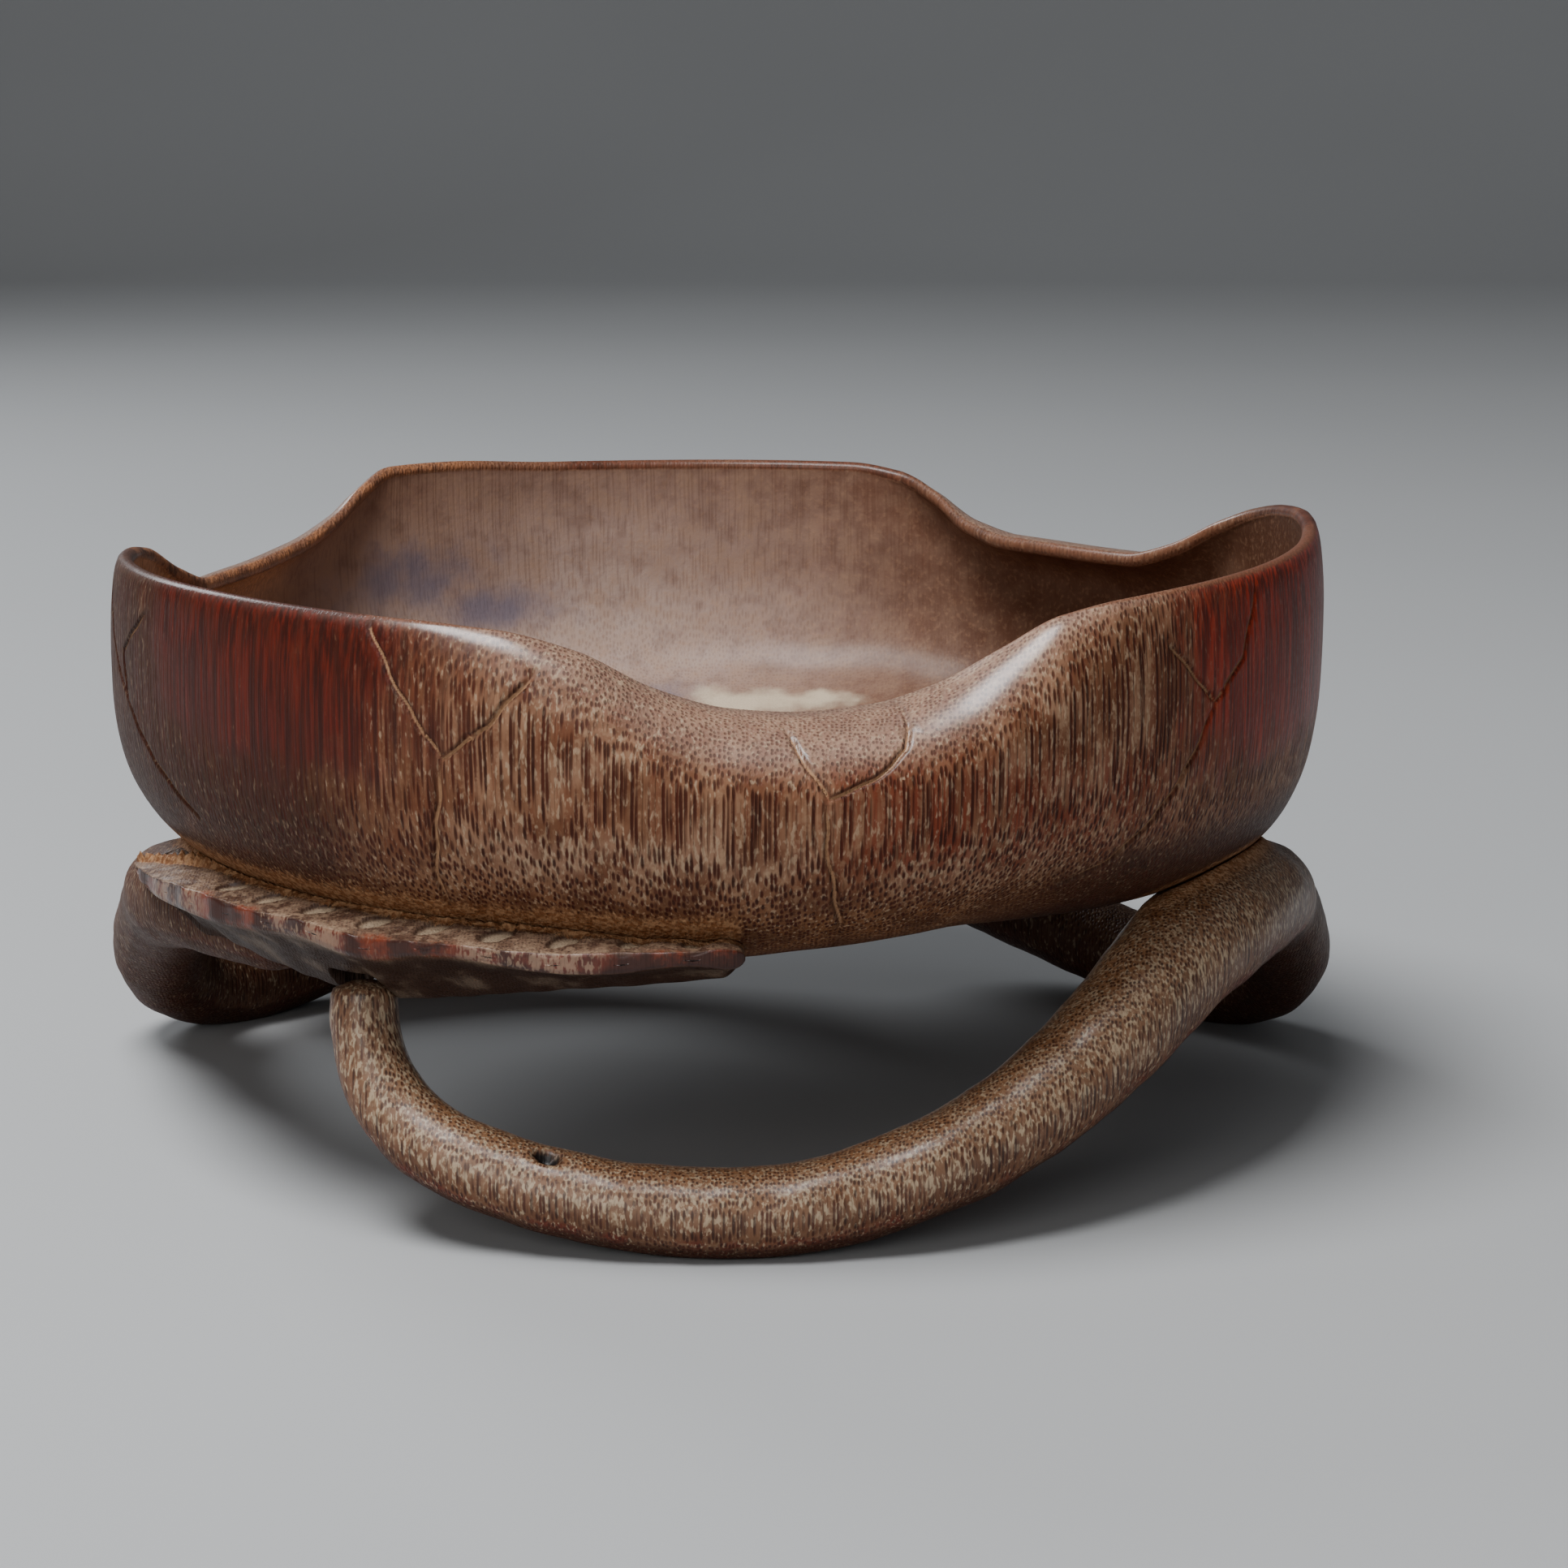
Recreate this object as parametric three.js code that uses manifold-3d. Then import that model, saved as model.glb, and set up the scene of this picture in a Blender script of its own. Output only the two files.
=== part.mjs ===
// A carved bamboo bowl in the shape of a lotus leaf, standing on its own curling stems.
//
// The bowl is one hollowed leaf cup whose rim rises in lobes and folds inwards in dips. A long stem
// springs from a small curled leaf under the front left of the cup, touches the ground, climbs to the
// right wall, touches the ground again behind it and ends under the back. A short stem mirrors it on
// the left. Every joint is a seat cut to the cup's own curve, held by a blind bamboo peg.
//
// Millimetres, +Z up. The origin is on the ground, under the middle of the cup. Bearings are degrees
// round the cup, from -Y (the front) towards +X (the right).
import * as THREE from "three";
import { ParametricGeometry } from "three/addons/geometries/ParametricGeometry.js";
import { mergeVertices } from "three/addons/utils/BufferGeometryUtils.js";
import Module from "manifold-3d";

const wasm = await Module();
wasm.setup();

// ---------------------------------------------------------------- driving dimensions
const CUP_RADIUS = 91.5; // widest circle of the cup
const CUP_BOTTOM = 36.5; // underside of the cup above the ground
const RIM_HEIGHT = 87.3; // usual height of the lobes' rim above the ground
const LOBE_BELLY = 14; // from the widest circle up to the rim, on a lobe
const FOLD_BELLY = 10; // the same where the rim folds in
const LOBE_LEAN = 2; // how far the rim leans in on a lobe
const FOLD_LEAN = 13; // how far it leans in where it folds most
const LOBE_TURN = 74; // degrees of the last curve up to the rim, on a lobe
const FOLD_TURN = 94; // the same in a full fold
const CORNER_DEPTH = 3; // squareness of the cup's lower curve, seen upwards

const FLOOR_THICK = 7; // cup's floor
const WALL_THICK = 4; // cup's wall at its widest circle
const RIM_THICK = 2.4; // cup's rim

const STEM_GIRTH = 1; // scale of every stem radius below
const STEM_FLAT = 0.3; // depth of the rubbed flat where a stem meets the ground

const JOINT_GAP = 0.3; // between two carved members
const PEG_RADIUS = 2;
const PEG_FIT = 0.15; // between a peg and its hole, all round
const PEG_END_GAP = 0.5; // at each end of a peg
const PEG_IN_CUP = 3.6; // how deep a peg reaches into the cup
const PEG_IN_STEM = 7; // and into a stem
const PEG_IN_LEAF = 4; // and into the curled leaf

// The rim's waves: [bearing, height above or below RIM_HEIGHT, how much it folds in from 0 to 1].
const RIM = [
  [-175, -0.6, 0],
  [-160, -0.3, 0],
  [-148, 0.8, 0],
  [-140, 1.0, 0.05],
  [-135, -1.1, 0.3],
  [-130, -4.7, 0.5],
  [-122, -7.8, 0.65],
  [-112, -9.2, 0.7],
  [-102, -9.4, 0.65],
  [-97, -6.6, 0.45],
  [-92, -2.8, 0.2],
  [-87, -1.9, 0.05],
  [-70, -0.6, 0],
  [-45, 0.1, 0],
  [-26, 0, 0.08],
  [-19, -0.5, 0.28],
  [-12, -3.1, 0.52],
  [-5, -8.4, 0.76],
  [2, -11.6, 0.95],
  [9, -12.4, 1],
  [16, -11.7, 0.98],
  [22, -9.2, 0.85],
  [28, -4.3, 0.6],
  [33, -0.3, 0.35],
  [39, 1.0, 0.12],
  [48, 1.3, 0],
  [75, 2.0, 0],
  [90, 2.8, 0],
  [99, 1.9, 0.02],
  [106, 0.2, 0.15],
  [111, -2.4, 0.4],
  [116, -6.7, 0.75],
  [122, -9.2, 0.95],
  [132, -9.6, 1],
  [142, -9.4, 1],
  [149, -7.6, 0.85],
  [155, -3.6, 0.5],
  [160, -1.4, 0.15],
  [166, -0.7, 0],
];

// Squareness of the cup's lower curve, seen across: [bearing, squareness].
const CORNER = [
  [-150, 5.2],
  [-90, 5.2],
  [0, 5],
  [10, 4.1],
  [25, 3.6],
  [38, 4.3],
  [60, 6.2],
  [85, 7.5],
  [120, 6.4],
  [165, 5.3],
];

// Stems: bearing, how far the stem's middle is outside the cup's widest circle, height of its
// underside as a share of the cup's, and its radius. Both stems run into the same rear leg.
const FRONT_RUN = [
  [-36.5, -11, 0.83, 4.9],
  [-35.6, -10, 0.62, 5.0],
  [-33.4, -9.5, 0.42, 5.4],
  [-28, -9.5, 0.235, 5.8],
  [-19, -11.3, 0.105, 6.0],
  [-8, -12.6, 0.025, 6.2],
  [4, -13, 0, 6.3],
  [15, -12.6, 0.045, 6.6],
  [26, -11.6, 0.165, 7.1],
  [36, -10.9, 0.325, 7.6],
  [45, -10.4, 0.51, 8.2],
  [54, -10.2, 0.67, 8.8],
  [65, -9.6, 0.75, 9.0],
  [77, -8.6, 0.73, 8.7],
];
const LEFT_RUN = [
  [-54, -20, 0.78, 5.5],
  [-63, -15.5, 0.8, 6.8],
  [-73, -11, 0.78, 8.1],
  [-81.5, -8.6, 0.71, 8.4],
];
const REAR_LEG = [
  [88.5, -7.2, 0.62, 8.2],
  [96, -3.2, 0.455, 7.9],
  [102, 0.9, 0.265, 7.7],
  [107, 2.1, 0.1, 7.6],
  [112.5, 0.4, 0.01, 7.5],
  [119, -3.8, 0, 7.4],
  [131, -9, 0.085, 7.3],
  [145, -12.5, 0.24, 7.2],
  [157, -15.5, 0.47, 7.0],
  [167, -18, 0.73, 6.8],
  [176, -20, 0.89, 6.4],
];
const mirrored = (rows) => rows.map(([bearing, ...rest]) => [-bearing, ...rest]);
const LONG_STEM = [...FRONT_RUN, ...REAR_LEG];
const SHORT_STEM = [...LEFT_RUN, ...mirrored(REAR_LEG)];

// The curled leaf's section at each bearing, as distances outside the cup's widest circle and
// heights above its underside: its crest, the top and foot of its lip, and its keel.
//  bearing, crest out and up, lip out, lip top, lip foot, keel out and up
const LEAF = [
  [-73, -2.2, 6.0, -1.6, 5.8, 5.2, -3.0, 4.6],
  [-69, -4.5, 7.2, -1.1, 6.3, 4.8, -6.5, 1.2],
  [-63, -7.5, 8.9, -1.0, 6.9, 4.5, -9.5, -2.1],
  [-57, -9.5, 9.7, -1.0, 7.8, 4.8, -11.0, -2.9],
  [-50, -10.5, 9.9, -1.0, 8.2, 5.1, -11.7, -3.5],
  [-44, -10.5, 10, -1.0, 8.1, 6.0, -12.0, -4.1],
  [-38.5, -10.5, 10.1, -1.0, 8.4, 6.5, -12.3, -4.7],
  [-31.5, -10.5, 10.1, -1.0, 7.7, 5.1, -12.5, -4.2],
  [-25, -10.5, 10, -1.0, 8.2, 6.7, -12.5, -2.8],
  [-21, -10.5, 10, -1.0, 8.3, 6.8, -12.3, -1.7],
  [-14, -10.5, 10, -1.0, 8.1, 5.8, -12.0, -0.1],
  [-8, -10.5, 9.9, -1.0, 8.7, 6.0, -11.7, 0.9],
  [-2, -10, 9.8, -1.0, 9.1, 7.3, -11.3, 2.1],
  [3.2, -9.5, 9.7, -1.3, 9.6, 6.3, -10.7, 3.1],
];
const LEAF_HOLLOW = 0.8; // how far the leaf's underside is hollowed between lip and keel
const LEAF_ROOT = 6; // how far its inner side reaches in behind its crest and keel

// Pegs into the cup, by the stem or leaf that they hold, and their bearings.
const CUP_PEGS = {
  long_stem: [62, 79, 170],
  short_stem: [-76, -170],
  curled_leaf: [-18, -52],
};

// Fineness of the carved surfaces.
const ROUND_STEPS = 72; // round the cup
const OUTSIDE_STEPS = 16; // up the outside of the cup
const INSIDE_STEPS = 13; // down its inside
const LIP_STOPS = [0.25, 0.5, 0.75]; // over its rim, from the outside to the inside
const LOWER_SHARE = 0.6; // of the cup's profile that is below the widest circle
const STEM_SIDES = 16;
const STEPS_PER_ROW = 3; // along a stem, for each of its rows
const STEM_STEP = 0.01; // share of a stem's length over which its run is measured
const LEAF_STEPS = 44;
const PEG_SIDES = 16;

// Fineness of the searches for where a peg goes.
const SKIN_STOPS = 120; // up the cup's profile
const LOW_STOPS = 10; // of those, under the middle of the cup, where no peg goes
const LINE_STOPS = 400; // along a stem or the leaf
const SKIN_SLACK = 2; // how far inside the cup's skin a member's middle may lie

// ---------------------------------------------------------------- small helpers
const radians = THREE.MathUtils.degToRad;
const lerp = THREE.MathUtils.lerp;

/** A point at a bearing, distance from the axis and height. */
function around(bearing, distance, height) {
  const a = radians(bearing);
  return new THREE.Vector3(distance * Math.sin(a), -distance * Math.cos(a), height);
}

/** The closed mesh's solid. */
function solidOf(geometry) {
  const bare = geometry.clone();
  bare.deleteAttribute("normal");
  bare.deleteAttribute("uv");
  const merged = mergeVertices(bare, 1e-4);
  return new wasm.Manifold(
    new wasm.Mesh({
      numProp: 3,
      vertProperties: merged.attributes.position.array,
      triVerts: new Uint32Array(merged.index.array),
    }),
  );
}

/** A solid of a ParametricGeometry, whichever way round its faces were made. */
function skinOf(surface, slices, stacks) {
  const solid = solidOf(new ParametricGeometry(surface, slices, stacks));
  if (solid.volume() > 0) return solid;
  return solidOf(new ParametricGeometry((u, v, at) => surface(1 - u, v, at), slices, stacks));
}

/** A cut piece without the crumbs that the cut left. */
function wholePiece(solid) {
  return solid.decompose().reduce((a, b) => (b.volume() > a.volume() ? b : a));
}

/** The solid as a geometry for a mesh. */
function geometryOf(solid) {
  const mesh = solid.getMesh();
  const geometry = new THREE.BufferGeometry();
  geometry.setAttribute("position", new THREE.BufferAttribute(mesh.vertProperties, 3));
  geometry.setIndex(new THREE.BufferAttribute(mesh.triVerts, 1));
  geometry.computeVertexNormals();
  return geometry;
}

/** A smooth function through rows of numbers, from 0 at the first row to 1 at the last. */
function through(rows) {
  const size = rows[0].length;
  return (share) => {
    const place = THREE.MathUtils.clamp(share, 0, 1) * (rows.length - 1);
    const i = Math.min(Math.floor(place), rows.length - 2);
    const t = place - i;
    const before = rows[Math.max(i - 1, 0)];
    const after = rows[Math.min(i + 2, rows.length - 1)];
    const value = [];
    for (let k = 0; k < size; k++) {
      const [a, b, c, d] = [before[k], rows[i][k], rows[i + 1][k], after[k]];
      const bend = t * (c - a + t * (2 * a - 5 * b + 4 * c - d + t * (3 * (b - c) + d - a)));
      value.push(b + 0.5 * bend);
    }
    return value;
  };
}

/** A smooth function of the bearing through rows that start with one, going round the full circle. */
function roundTheCup(rows) {
  const last = rows.length;
  const row = (i) => {
    const [bearing, ...values] = rows[((i % last) + last) % last];
    return { bearing: bearing + 360 * Math.floor(i / last), values };
  };
  const slope = (i, k) => {
    const [a, b, c] = [row(i - 1), row(i), row(i + 1)];
    const before = (b.values[k] - a.values[k]) / (b.bearing - a.bearing);
    const after = (c.values[k] - b.values[k]) / (c.bearing - b.bearing);
    return before * after <= 0 ? 0 : (2 * before * after) / (before + after);
  };
  return (bearing) => {
    const turned = bearing - 360 * Math.floor((bearing - rows[0][0]) / 360);
    let i = last - 1;
    while (row(i).bearing > turned) i--;
    const [a, b] = [row(i), row(i + 1)];
    const width = b.bearing - a.bearing;
    const t = (turned - a.bearing) / width;
    return a.values.map((value, k) => {
      const ease = t * t * (3 - 2 * t);
      const leave = t * (1 - t) * (1 - t) * width * slope(i, k);
      const arrive = t * t * (t - 1) * width * slope(i + 1, k);
      return lerp(value, b.values[k], ease) + leave + arrive;
    });
  };
}

// ---------------------------------------------------------------- the cup
const rimAt = roundTheCup(RIM);
const cornerAt = roundTheCup(CORNER);

/** The cup's sizes at one bearing. */
function cupAt(bearing) {
  const [rise, fold] = rimAt(bearing);
  const rim = RIM_HEIGHT + rise;
  return {
    rim,
    belly: rim - lerp(LOBE_BELLY, FOLD_BELLY, fold),
    lean: lerp(LOBE_LEAN, FOLD_LEAN, fold),
    turn: radians(lerp(LOBE_TURN, FOLD_TURN, fold)),
    corner: cornerAt(bearing)[0],
  };
}

/** The cup's outer profile, [distance, height]: share 0 at the middle of the bottom, 1 at the rim. */
function outerProfile(cup, share) {
  if (share < LOWER_SHARE) {
    const t = (share / LOWER_SHARE) * (Math.PI / 2);
    const across = Math.sin(t) ** (2 / cup.corner);
    const down = Math.cos(t) ** (2 / CORNER_DEPTH);
    return [CUP_RADIUS * across, cup.belly - (cup.belly - CUP_BOTTOM) * down];
  }
  const s = ((share - LOWER_SHARE) / (1 - LOWER_SHARE)) * cup.turn;
  const rise = (cup.rim - cup.belly) / Math.min(1, Math.sin(cup.turn));
  return [CUP_RADIUS - cup.lean * (1 - Math.cos(s)), cup.belly + rise * Math.sin(s)];
}

/** The wall's thickness along the profile. */
function wallAt(share) {
  return share < LOWER_SHARE
    ? lerp(FLOOR_THICK, WALL_THICK, (share / LOWER_SHARE) ** 2)
    : lerp(WALL_THICK, RIM_THICK, (share - LOWER_SHARE) / (1 - LOWER_SHARE));
}

/** The outer profile moved along its own normal: outwards for a positive distance. */
function offsetProfile(cup, share, distance) {
  const step = 1e-3;
  const [r, z] = outerProfile(cup, share);
  const [r0, z0] = outerProfile(cup, Math.max(share - step, 0.01));
  const [r1, z1] = outerProfile(cup, Math.min(share + step, 1));
  const length = Math.hypot(r1 - r0, z1 - z0);
  if (share < 0.01) return [0, z - distance];
  return [Math.max(r + (distance * (z1 - z0)) / length, 0), z - (distance * (r1 - r0)) / length];
}

/** Evenly spaced shares from 0 to 1. */
function stations(count) {
  return Array.from({ length: count + 1 }, (_, i) => i / count);
}

/** A profile taken round the cup: each stop gives [distance, height] for the cup at a bearing. */
function turnedSolid(profile) {
  return skinOf(
    (u, v, at) => {
      const bearing = u === 1 ? 0 : 360 * u;
      const [r, z] = profile[Math.round(v * (profile.length - 1))](cupAt(bearing));
      at.copy(around(bearing, r, z));
    },
    ROUND_STEPS,
    profile.length - 1,
  );
}

/** The hollow cup: up the outside, over the rounded rim, down the inside. */
function cupSolid() {
  const outside = stations(OUTSIDE_STEPS).map((share) => (cup) => outerProfile(cup, share));
  const lip = LIP_STOPS.map((share) => (cup) => {
    const [r0, z0] = outerProfile(cup, 1);
    const [r1, z1] = offsetProfile(cup, 1, -RIM_THICK);
    const bulge = Math.sin(Math.PI * share) * 0.5;
    return [lerp(r0, r1, share) + bulge * (z1 - z0), lerp(z0, z1, share) - bulge * (r1 - r0)];
  });
  const inside = stations(INSIDE_STEPS)
    .reverse()
    .map((share) => (cup) => offsetProfile(cup, share, -wallAt(share)));
  return turnedSolid([...outside, ...lip, ...inside]);
}

/** The cup filled to its rim and grown all round, which the stems and the leaf are cut to fit. */
function cupCutter(growth) {
  const skin = stations(OUTSIDE_STEPS).map((share) => (cup) => offsetProfile(cup, share, growth));
  return turnedSolid([...skin, () => [0, RIM_HEIGHT]]);
}

// ---------------------------------------------------------------- stems
/** The middle of a stem and its radius there, at a share of its length. */
function stemAt(rows) {
  const along = through(rows);
  return (share) => {
    const [bearing, outside, underside, radius] = along(share);
    const girth = radius * STEM_GIRTH;
    const height = underside * CUP_BOTTOM + girth - STEM_FLAT;
    return { bearing, girth, middle: around(bearing, CUP_RADIUS + outside, height) };
  };
}

/** A stem swept round the cup, its section square to its run, with flat ends. */
function stemSolid(rows, growth = 0) {
  const stem = stemAt(rows);
  const stacks = rows.length * STEPS_PER_ROW;
  return skinOf(
    (u, v, at) => {
      const share = (v * stacks - 1) / (stacks - 2); // the first and last steps close the ends
      const { middle, girth } = stem(share);
      const radius = v === 0 || v === 1 ? 0 : girth + growth;
      const run = stem(share + STEM_STEP).middle.sub(stem(share - STEM_STEP).middle).normalize();
      const out = new THREE.Vector3(middle.x, middle.y, 0).normalize();
      out.addScaledVector(run, -out.dot(run)).normalize();
      const up = new THREE.Vector3().crossVectors(run, out);
      const turn = u === 1 ? 0 : 2 * Math.PI * u;
      at.copy(middle);
      at.addScaledVector(out, radius * Math.cos(turn));
      at.addScaledVector(up, radius * Math.sin(turn));
    },
    STEM_SIDES,
    stacks,
  );
}

/** The ground, as a block wider than the bowl. */
function groundBlock() {
  const side = 6 * CUP_RADIUS;
  const block = new THREE.BoxGeometry(side, side, side);
  block.translate(0, 0, -side / 2);
  return solidOf(block);
}

// ---------------------------------------------------------------- the curled leaf
/** The leaf's section at a share of its length: a closed loop of points round it. */
function leafLoop(share) {
  const [bearing, crestOut, crestUp, lipOut, lipTop, lipFoot, keelOut, keelUp] =
    through(LEAF)(share);
  const point = (out, up) => around(bearing, CUP_RADIUS + out, CUP_BOTTOM + up);
  return [
    point(crestOut - LEAF_ROOT, crestUp), // behind the cup's skin, so the seat cuts it away
    point(crestOut, crestUp),
    point(lerp(crestOut, lipOut, 0.55), lerp(crestUp, lipTop, 0.5)),
    point(lipOut, lipTop),
    point(lipOut, lipFoot),
    point(lerp(lipOut, keelOut, 0.5), lerp(lipFoot, keelUp, 0.5) + LEAF_HOLLOW),
    point(keelOut, keelUp),
    point(keelOut - LEAF_ROOT, keelUp + LEAF_ROOT / 2),
  ];
}

/** The curled leaf, with a flat end at each tip. */
function leafSolid() {
  const sides = leafLoop(0).length;
  return skinOf(
    (u, v, at) => {
      const loop = leafLoop((v * LEAF_STEPS - 1) / (LEAF_STEPS - 2));
      if (v > 0 && v < 1) at.copy(loop[Math.round(u * sides) % sides]);
      else at.copy(loop.reduce((sum, p) => sum.add(p), new THREE.Vector3()).divideScalar(sides));
    },
    sides,
    LEAF_STEPS,
  );
}

// ---------------------------------------------------------------- pegs
/** A peg or its hole: a cylinder from one point to another, longer by the given growth at each end. */
function pegSolid(from, to, growth = 0, endGrowth = growth) {
  const run = new THREE.Vector3().subVectors(to, from);
  const length = run.length() + 2 * endGrowth;
  const peg = new THREE.CylinderGeometry(PEG_RADIUS + growth, PEG_RADIUS + growth, length, PEG_SIDES);
  const turn = new THREE.Quaternion().setFromUnitVectors(
    new THREE.Vector3(0, 1, 0),
    run.clone().normalize(),
  );
  peg.applyQuaternion(turn);
  peg.translate(...new THREE.Vector3().addVectors(from, to).multiplyScalar(0.5));
  return solidOf(peg);
}

/** Where a peg crosses the cup's skin, at a bearing, and the skin's outward direction there. */
function cupSeat(bearing, target) {
  const cup = cupAt(bearing);
  let best;
  for (const share of stations(SKIN_STOPS).slice(LOW_STOPS)) {
    const [r, z] = outerProfile(cup, share);
    const [r1, z1] = offsetProfile(cup, share, 1);
    const point = around(bearing, r, z);
    const outward = around(bearing, r1, z1).sub(point).normalize();
    const miss = new THREE.Vector3().subVectors(target, point).cross(outward).length();
    const reach = new THREE.Vector3().subVectors(target, point).dot(outward);
    if (reach > -SKIN_SLACK && (!best || miss < best.miss)) best = { point, outward, miss };
  }
  return best;
}

/** The middle of a stem at a bearing. */
function stemMiddle(rows, bearing) {
  const stem = stemAt(rows);
  const off = (share) => Math.abs(stem(share).bearing - bearing);
  return stem(stations(LINE_STOPS).reduce((a, b) => (off(b) < off(a) ? b : a))).middle;
}

/** The middle of the curled leaf's thick part at a bearing. */
function leafMiddle(bearing) {
  const off = (share) => Math.abs(through(LEAF)(share)[0] - bearing);
  const loop = leafLoop(stations(LINE_STOPS).reduce((a, b) => (off(b) < off(a) ? b : a)));
  const [, crest, , , , , keel] = loop;
  return crest.lerp(keel, 0.5);
}

// ---------------------------------------------------------------- fitting the members together
const seat = cupCutter(JOINT_GAP);
let cup = cupSolid();
let longStem = stemSolid(LONG_STEM);
let shortStem = stemSolid(SHORT_STEM);
let leaf = leafSolid();

// The leaf sits on the cup and on the long stem's tip, and clears the short stem behind it.
leaf = leaf.subtract(seat);
leaf = leaf.subtract(stemSolid(SHORT_STEM, JOINT_GAP));
longStem = longStem.subtract(seat);
shortStem = shortStem.subtract(seat);
leaf = leaf.subtract(stemSolid(LONG_STEM, JOINT_GAP));

// Both stems are rubbed flat where they stand.
const ground = groundBlock();
longStem = longStem.subtract(ground);
shortStem = shortStem.subtract(ground);

// Blind pegs: each hole is the peg grown by its fit, and a little deeper at each end.
const pegs = [];
const bored = { cup, long_stem: longStem, short_stem: shortStem, curled_leaf: leaf };
function joinByPeg(name, first, second, from, to) {
  const hole = pegSolid(from, to, PEG_FIT, PEG_END_GAP);
  bored[first] = bored[first].subtract(hole);
  bored[second] = bored[second].subtract(hole);
  pegs.push({ name, solid: pegSolid(from, to) });
}
const MEMBER_MIDDLE = {
  long_stem: (bearing) => stemMiddle(LONG_STEM, bearing),
  short_stem: (bearing) => stemMiddle(SHORT_STEM, bearing),
  curled_leaf: leafMiddle,
};
for (const [member, bearings] of Object.entries(CUP_PEGS)) {
  bearings.forEach((bearing, i) => {
    const { point, outward } = cupSeat(bearing, MEMBER_MIDDLE[member](bearing));
    const reach = member === "curled_leaf" ? PEG_IN_LEAF : PEG_IN_STEM;
    const from = point.clone().addScaledVector(outward, -PEG_IN_CUP);
    const to = point.clone().addScaledVector(outward, JOINT_GAP + reach);
    joinByPeg(`${member}_peg_${i + 1}`, "cup", member, from, to);
  });
}

// ---------------------------------------------------------------- materials and the model
const bambooSkin = new THREE.MeshStandardMaterial({ color: 0x6e3a22, roughness: 0.45, metalness: 0 });
const stemBamboo = new THREE.MeshStandardMaterial({ color: 0x77492c, roughness: 0.5, metalness: 0 });
const leafBamboo = new THREE.MeshStandardMaterial({ color: 0x5a3524, roughness: 0.45, metalness: 0 });
const pegBamboo = new THREE.MeshStandardMaterial({ color: 0xa07a4c, roughness: 0.7, metalness: 0 });

const model = new THREE.Group();
function addPiece(name, solid, material) {
  const mesh = new THREE.Mesh(geometryOf(wholePiece(solid)), material);
  mesh.name = name;
  model.add(mesh);
}
addPiece("cup", bored.cup, bambooSkin);
addPiece("long_stem", bored.long_stem, stemBamboo);
addPiece("short_stem", bored.short_stem, stemBamboo);
addPiece("curled_leaf", bored.curled_leaf, leafBamboo);
for (const { name, solid } of pegs) addPiece(name, solid, pegBamboo);

export default model;
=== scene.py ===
# %% [markdown]
# # A bamboo bowl carved as a lotus leaf
#
# The bowl is a hollowed leaf cup standing on two stems, with a small curled leaf under its front.
# The measured model gives every member its place. Blender gives the carved surfaces: incised veins,
# gouge cuts, worn edges and the long dark fibres of bamboo root. It starts by loading the measured
# model as a frame that nothing may move, and keeps its box, whose top no carved skin may pass.

# %% The frame
import math

import bmesh
import bpy
import numpy as np
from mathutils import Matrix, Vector
from mathutils.kdtree import KDTree


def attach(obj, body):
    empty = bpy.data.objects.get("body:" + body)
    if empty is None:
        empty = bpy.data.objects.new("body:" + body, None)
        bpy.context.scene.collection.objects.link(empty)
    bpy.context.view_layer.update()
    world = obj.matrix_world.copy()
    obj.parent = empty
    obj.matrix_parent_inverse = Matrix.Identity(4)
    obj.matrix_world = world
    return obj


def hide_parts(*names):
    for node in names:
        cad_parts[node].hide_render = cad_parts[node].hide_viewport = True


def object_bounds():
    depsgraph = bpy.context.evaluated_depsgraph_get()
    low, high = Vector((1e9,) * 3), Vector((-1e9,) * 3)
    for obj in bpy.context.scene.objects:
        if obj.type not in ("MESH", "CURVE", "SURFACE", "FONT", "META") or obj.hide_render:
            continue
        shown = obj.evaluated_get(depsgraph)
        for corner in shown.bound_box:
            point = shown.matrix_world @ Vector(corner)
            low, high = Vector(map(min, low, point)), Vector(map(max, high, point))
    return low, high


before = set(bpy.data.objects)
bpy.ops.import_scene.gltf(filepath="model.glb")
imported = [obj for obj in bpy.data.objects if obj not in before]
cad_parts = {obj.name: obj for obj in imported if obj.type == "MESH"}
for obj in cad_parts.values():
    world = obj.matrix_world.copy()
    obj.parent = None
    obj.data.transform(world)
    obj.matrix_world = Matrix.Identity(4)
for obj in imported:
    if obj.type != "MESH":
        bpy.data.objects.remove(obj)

cad_low, cad_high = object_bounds()
print("members in the frame:", ", ".join(sorted(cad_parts)))
print("their box, mm:", [round(1000 * (b - a), 1) for a, b in zip(cad_low, cad_high)])

# %% [markdown]
# ## The carver's numbers
#
# Lengths here are millimetres, and become metres when a mesh is finished. A bearing is degrees round
# the cup, from the front towards the right. The rim is a list of waves: at each bearing, how far it
# stands above its usual height and how much it folds in. The same few numbers shaped the measured
# model, so the new skins lie where its solids are.

# %% Numbers of the cup and its rim
MM = 0.001
CUP_RADIUS = 91.5
CUP_BOTTOM = 36.5
RIM_HEIGHT = 87.3
LOBE_BELLY, FOLD_BELLY = 14, 10
LOBE_LEAN, FOLD_LEAN = 2, 13
LOBE_TURN, FOLD_TURN = 74, 94
CORNER_DEPTH = 3
FLOOR_THICK, WALL_THICK, RIM_THICK = 7, 4, 2.4
LOWER_SHARE = 0.6
STEM_FLAT = 0.3

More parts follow.
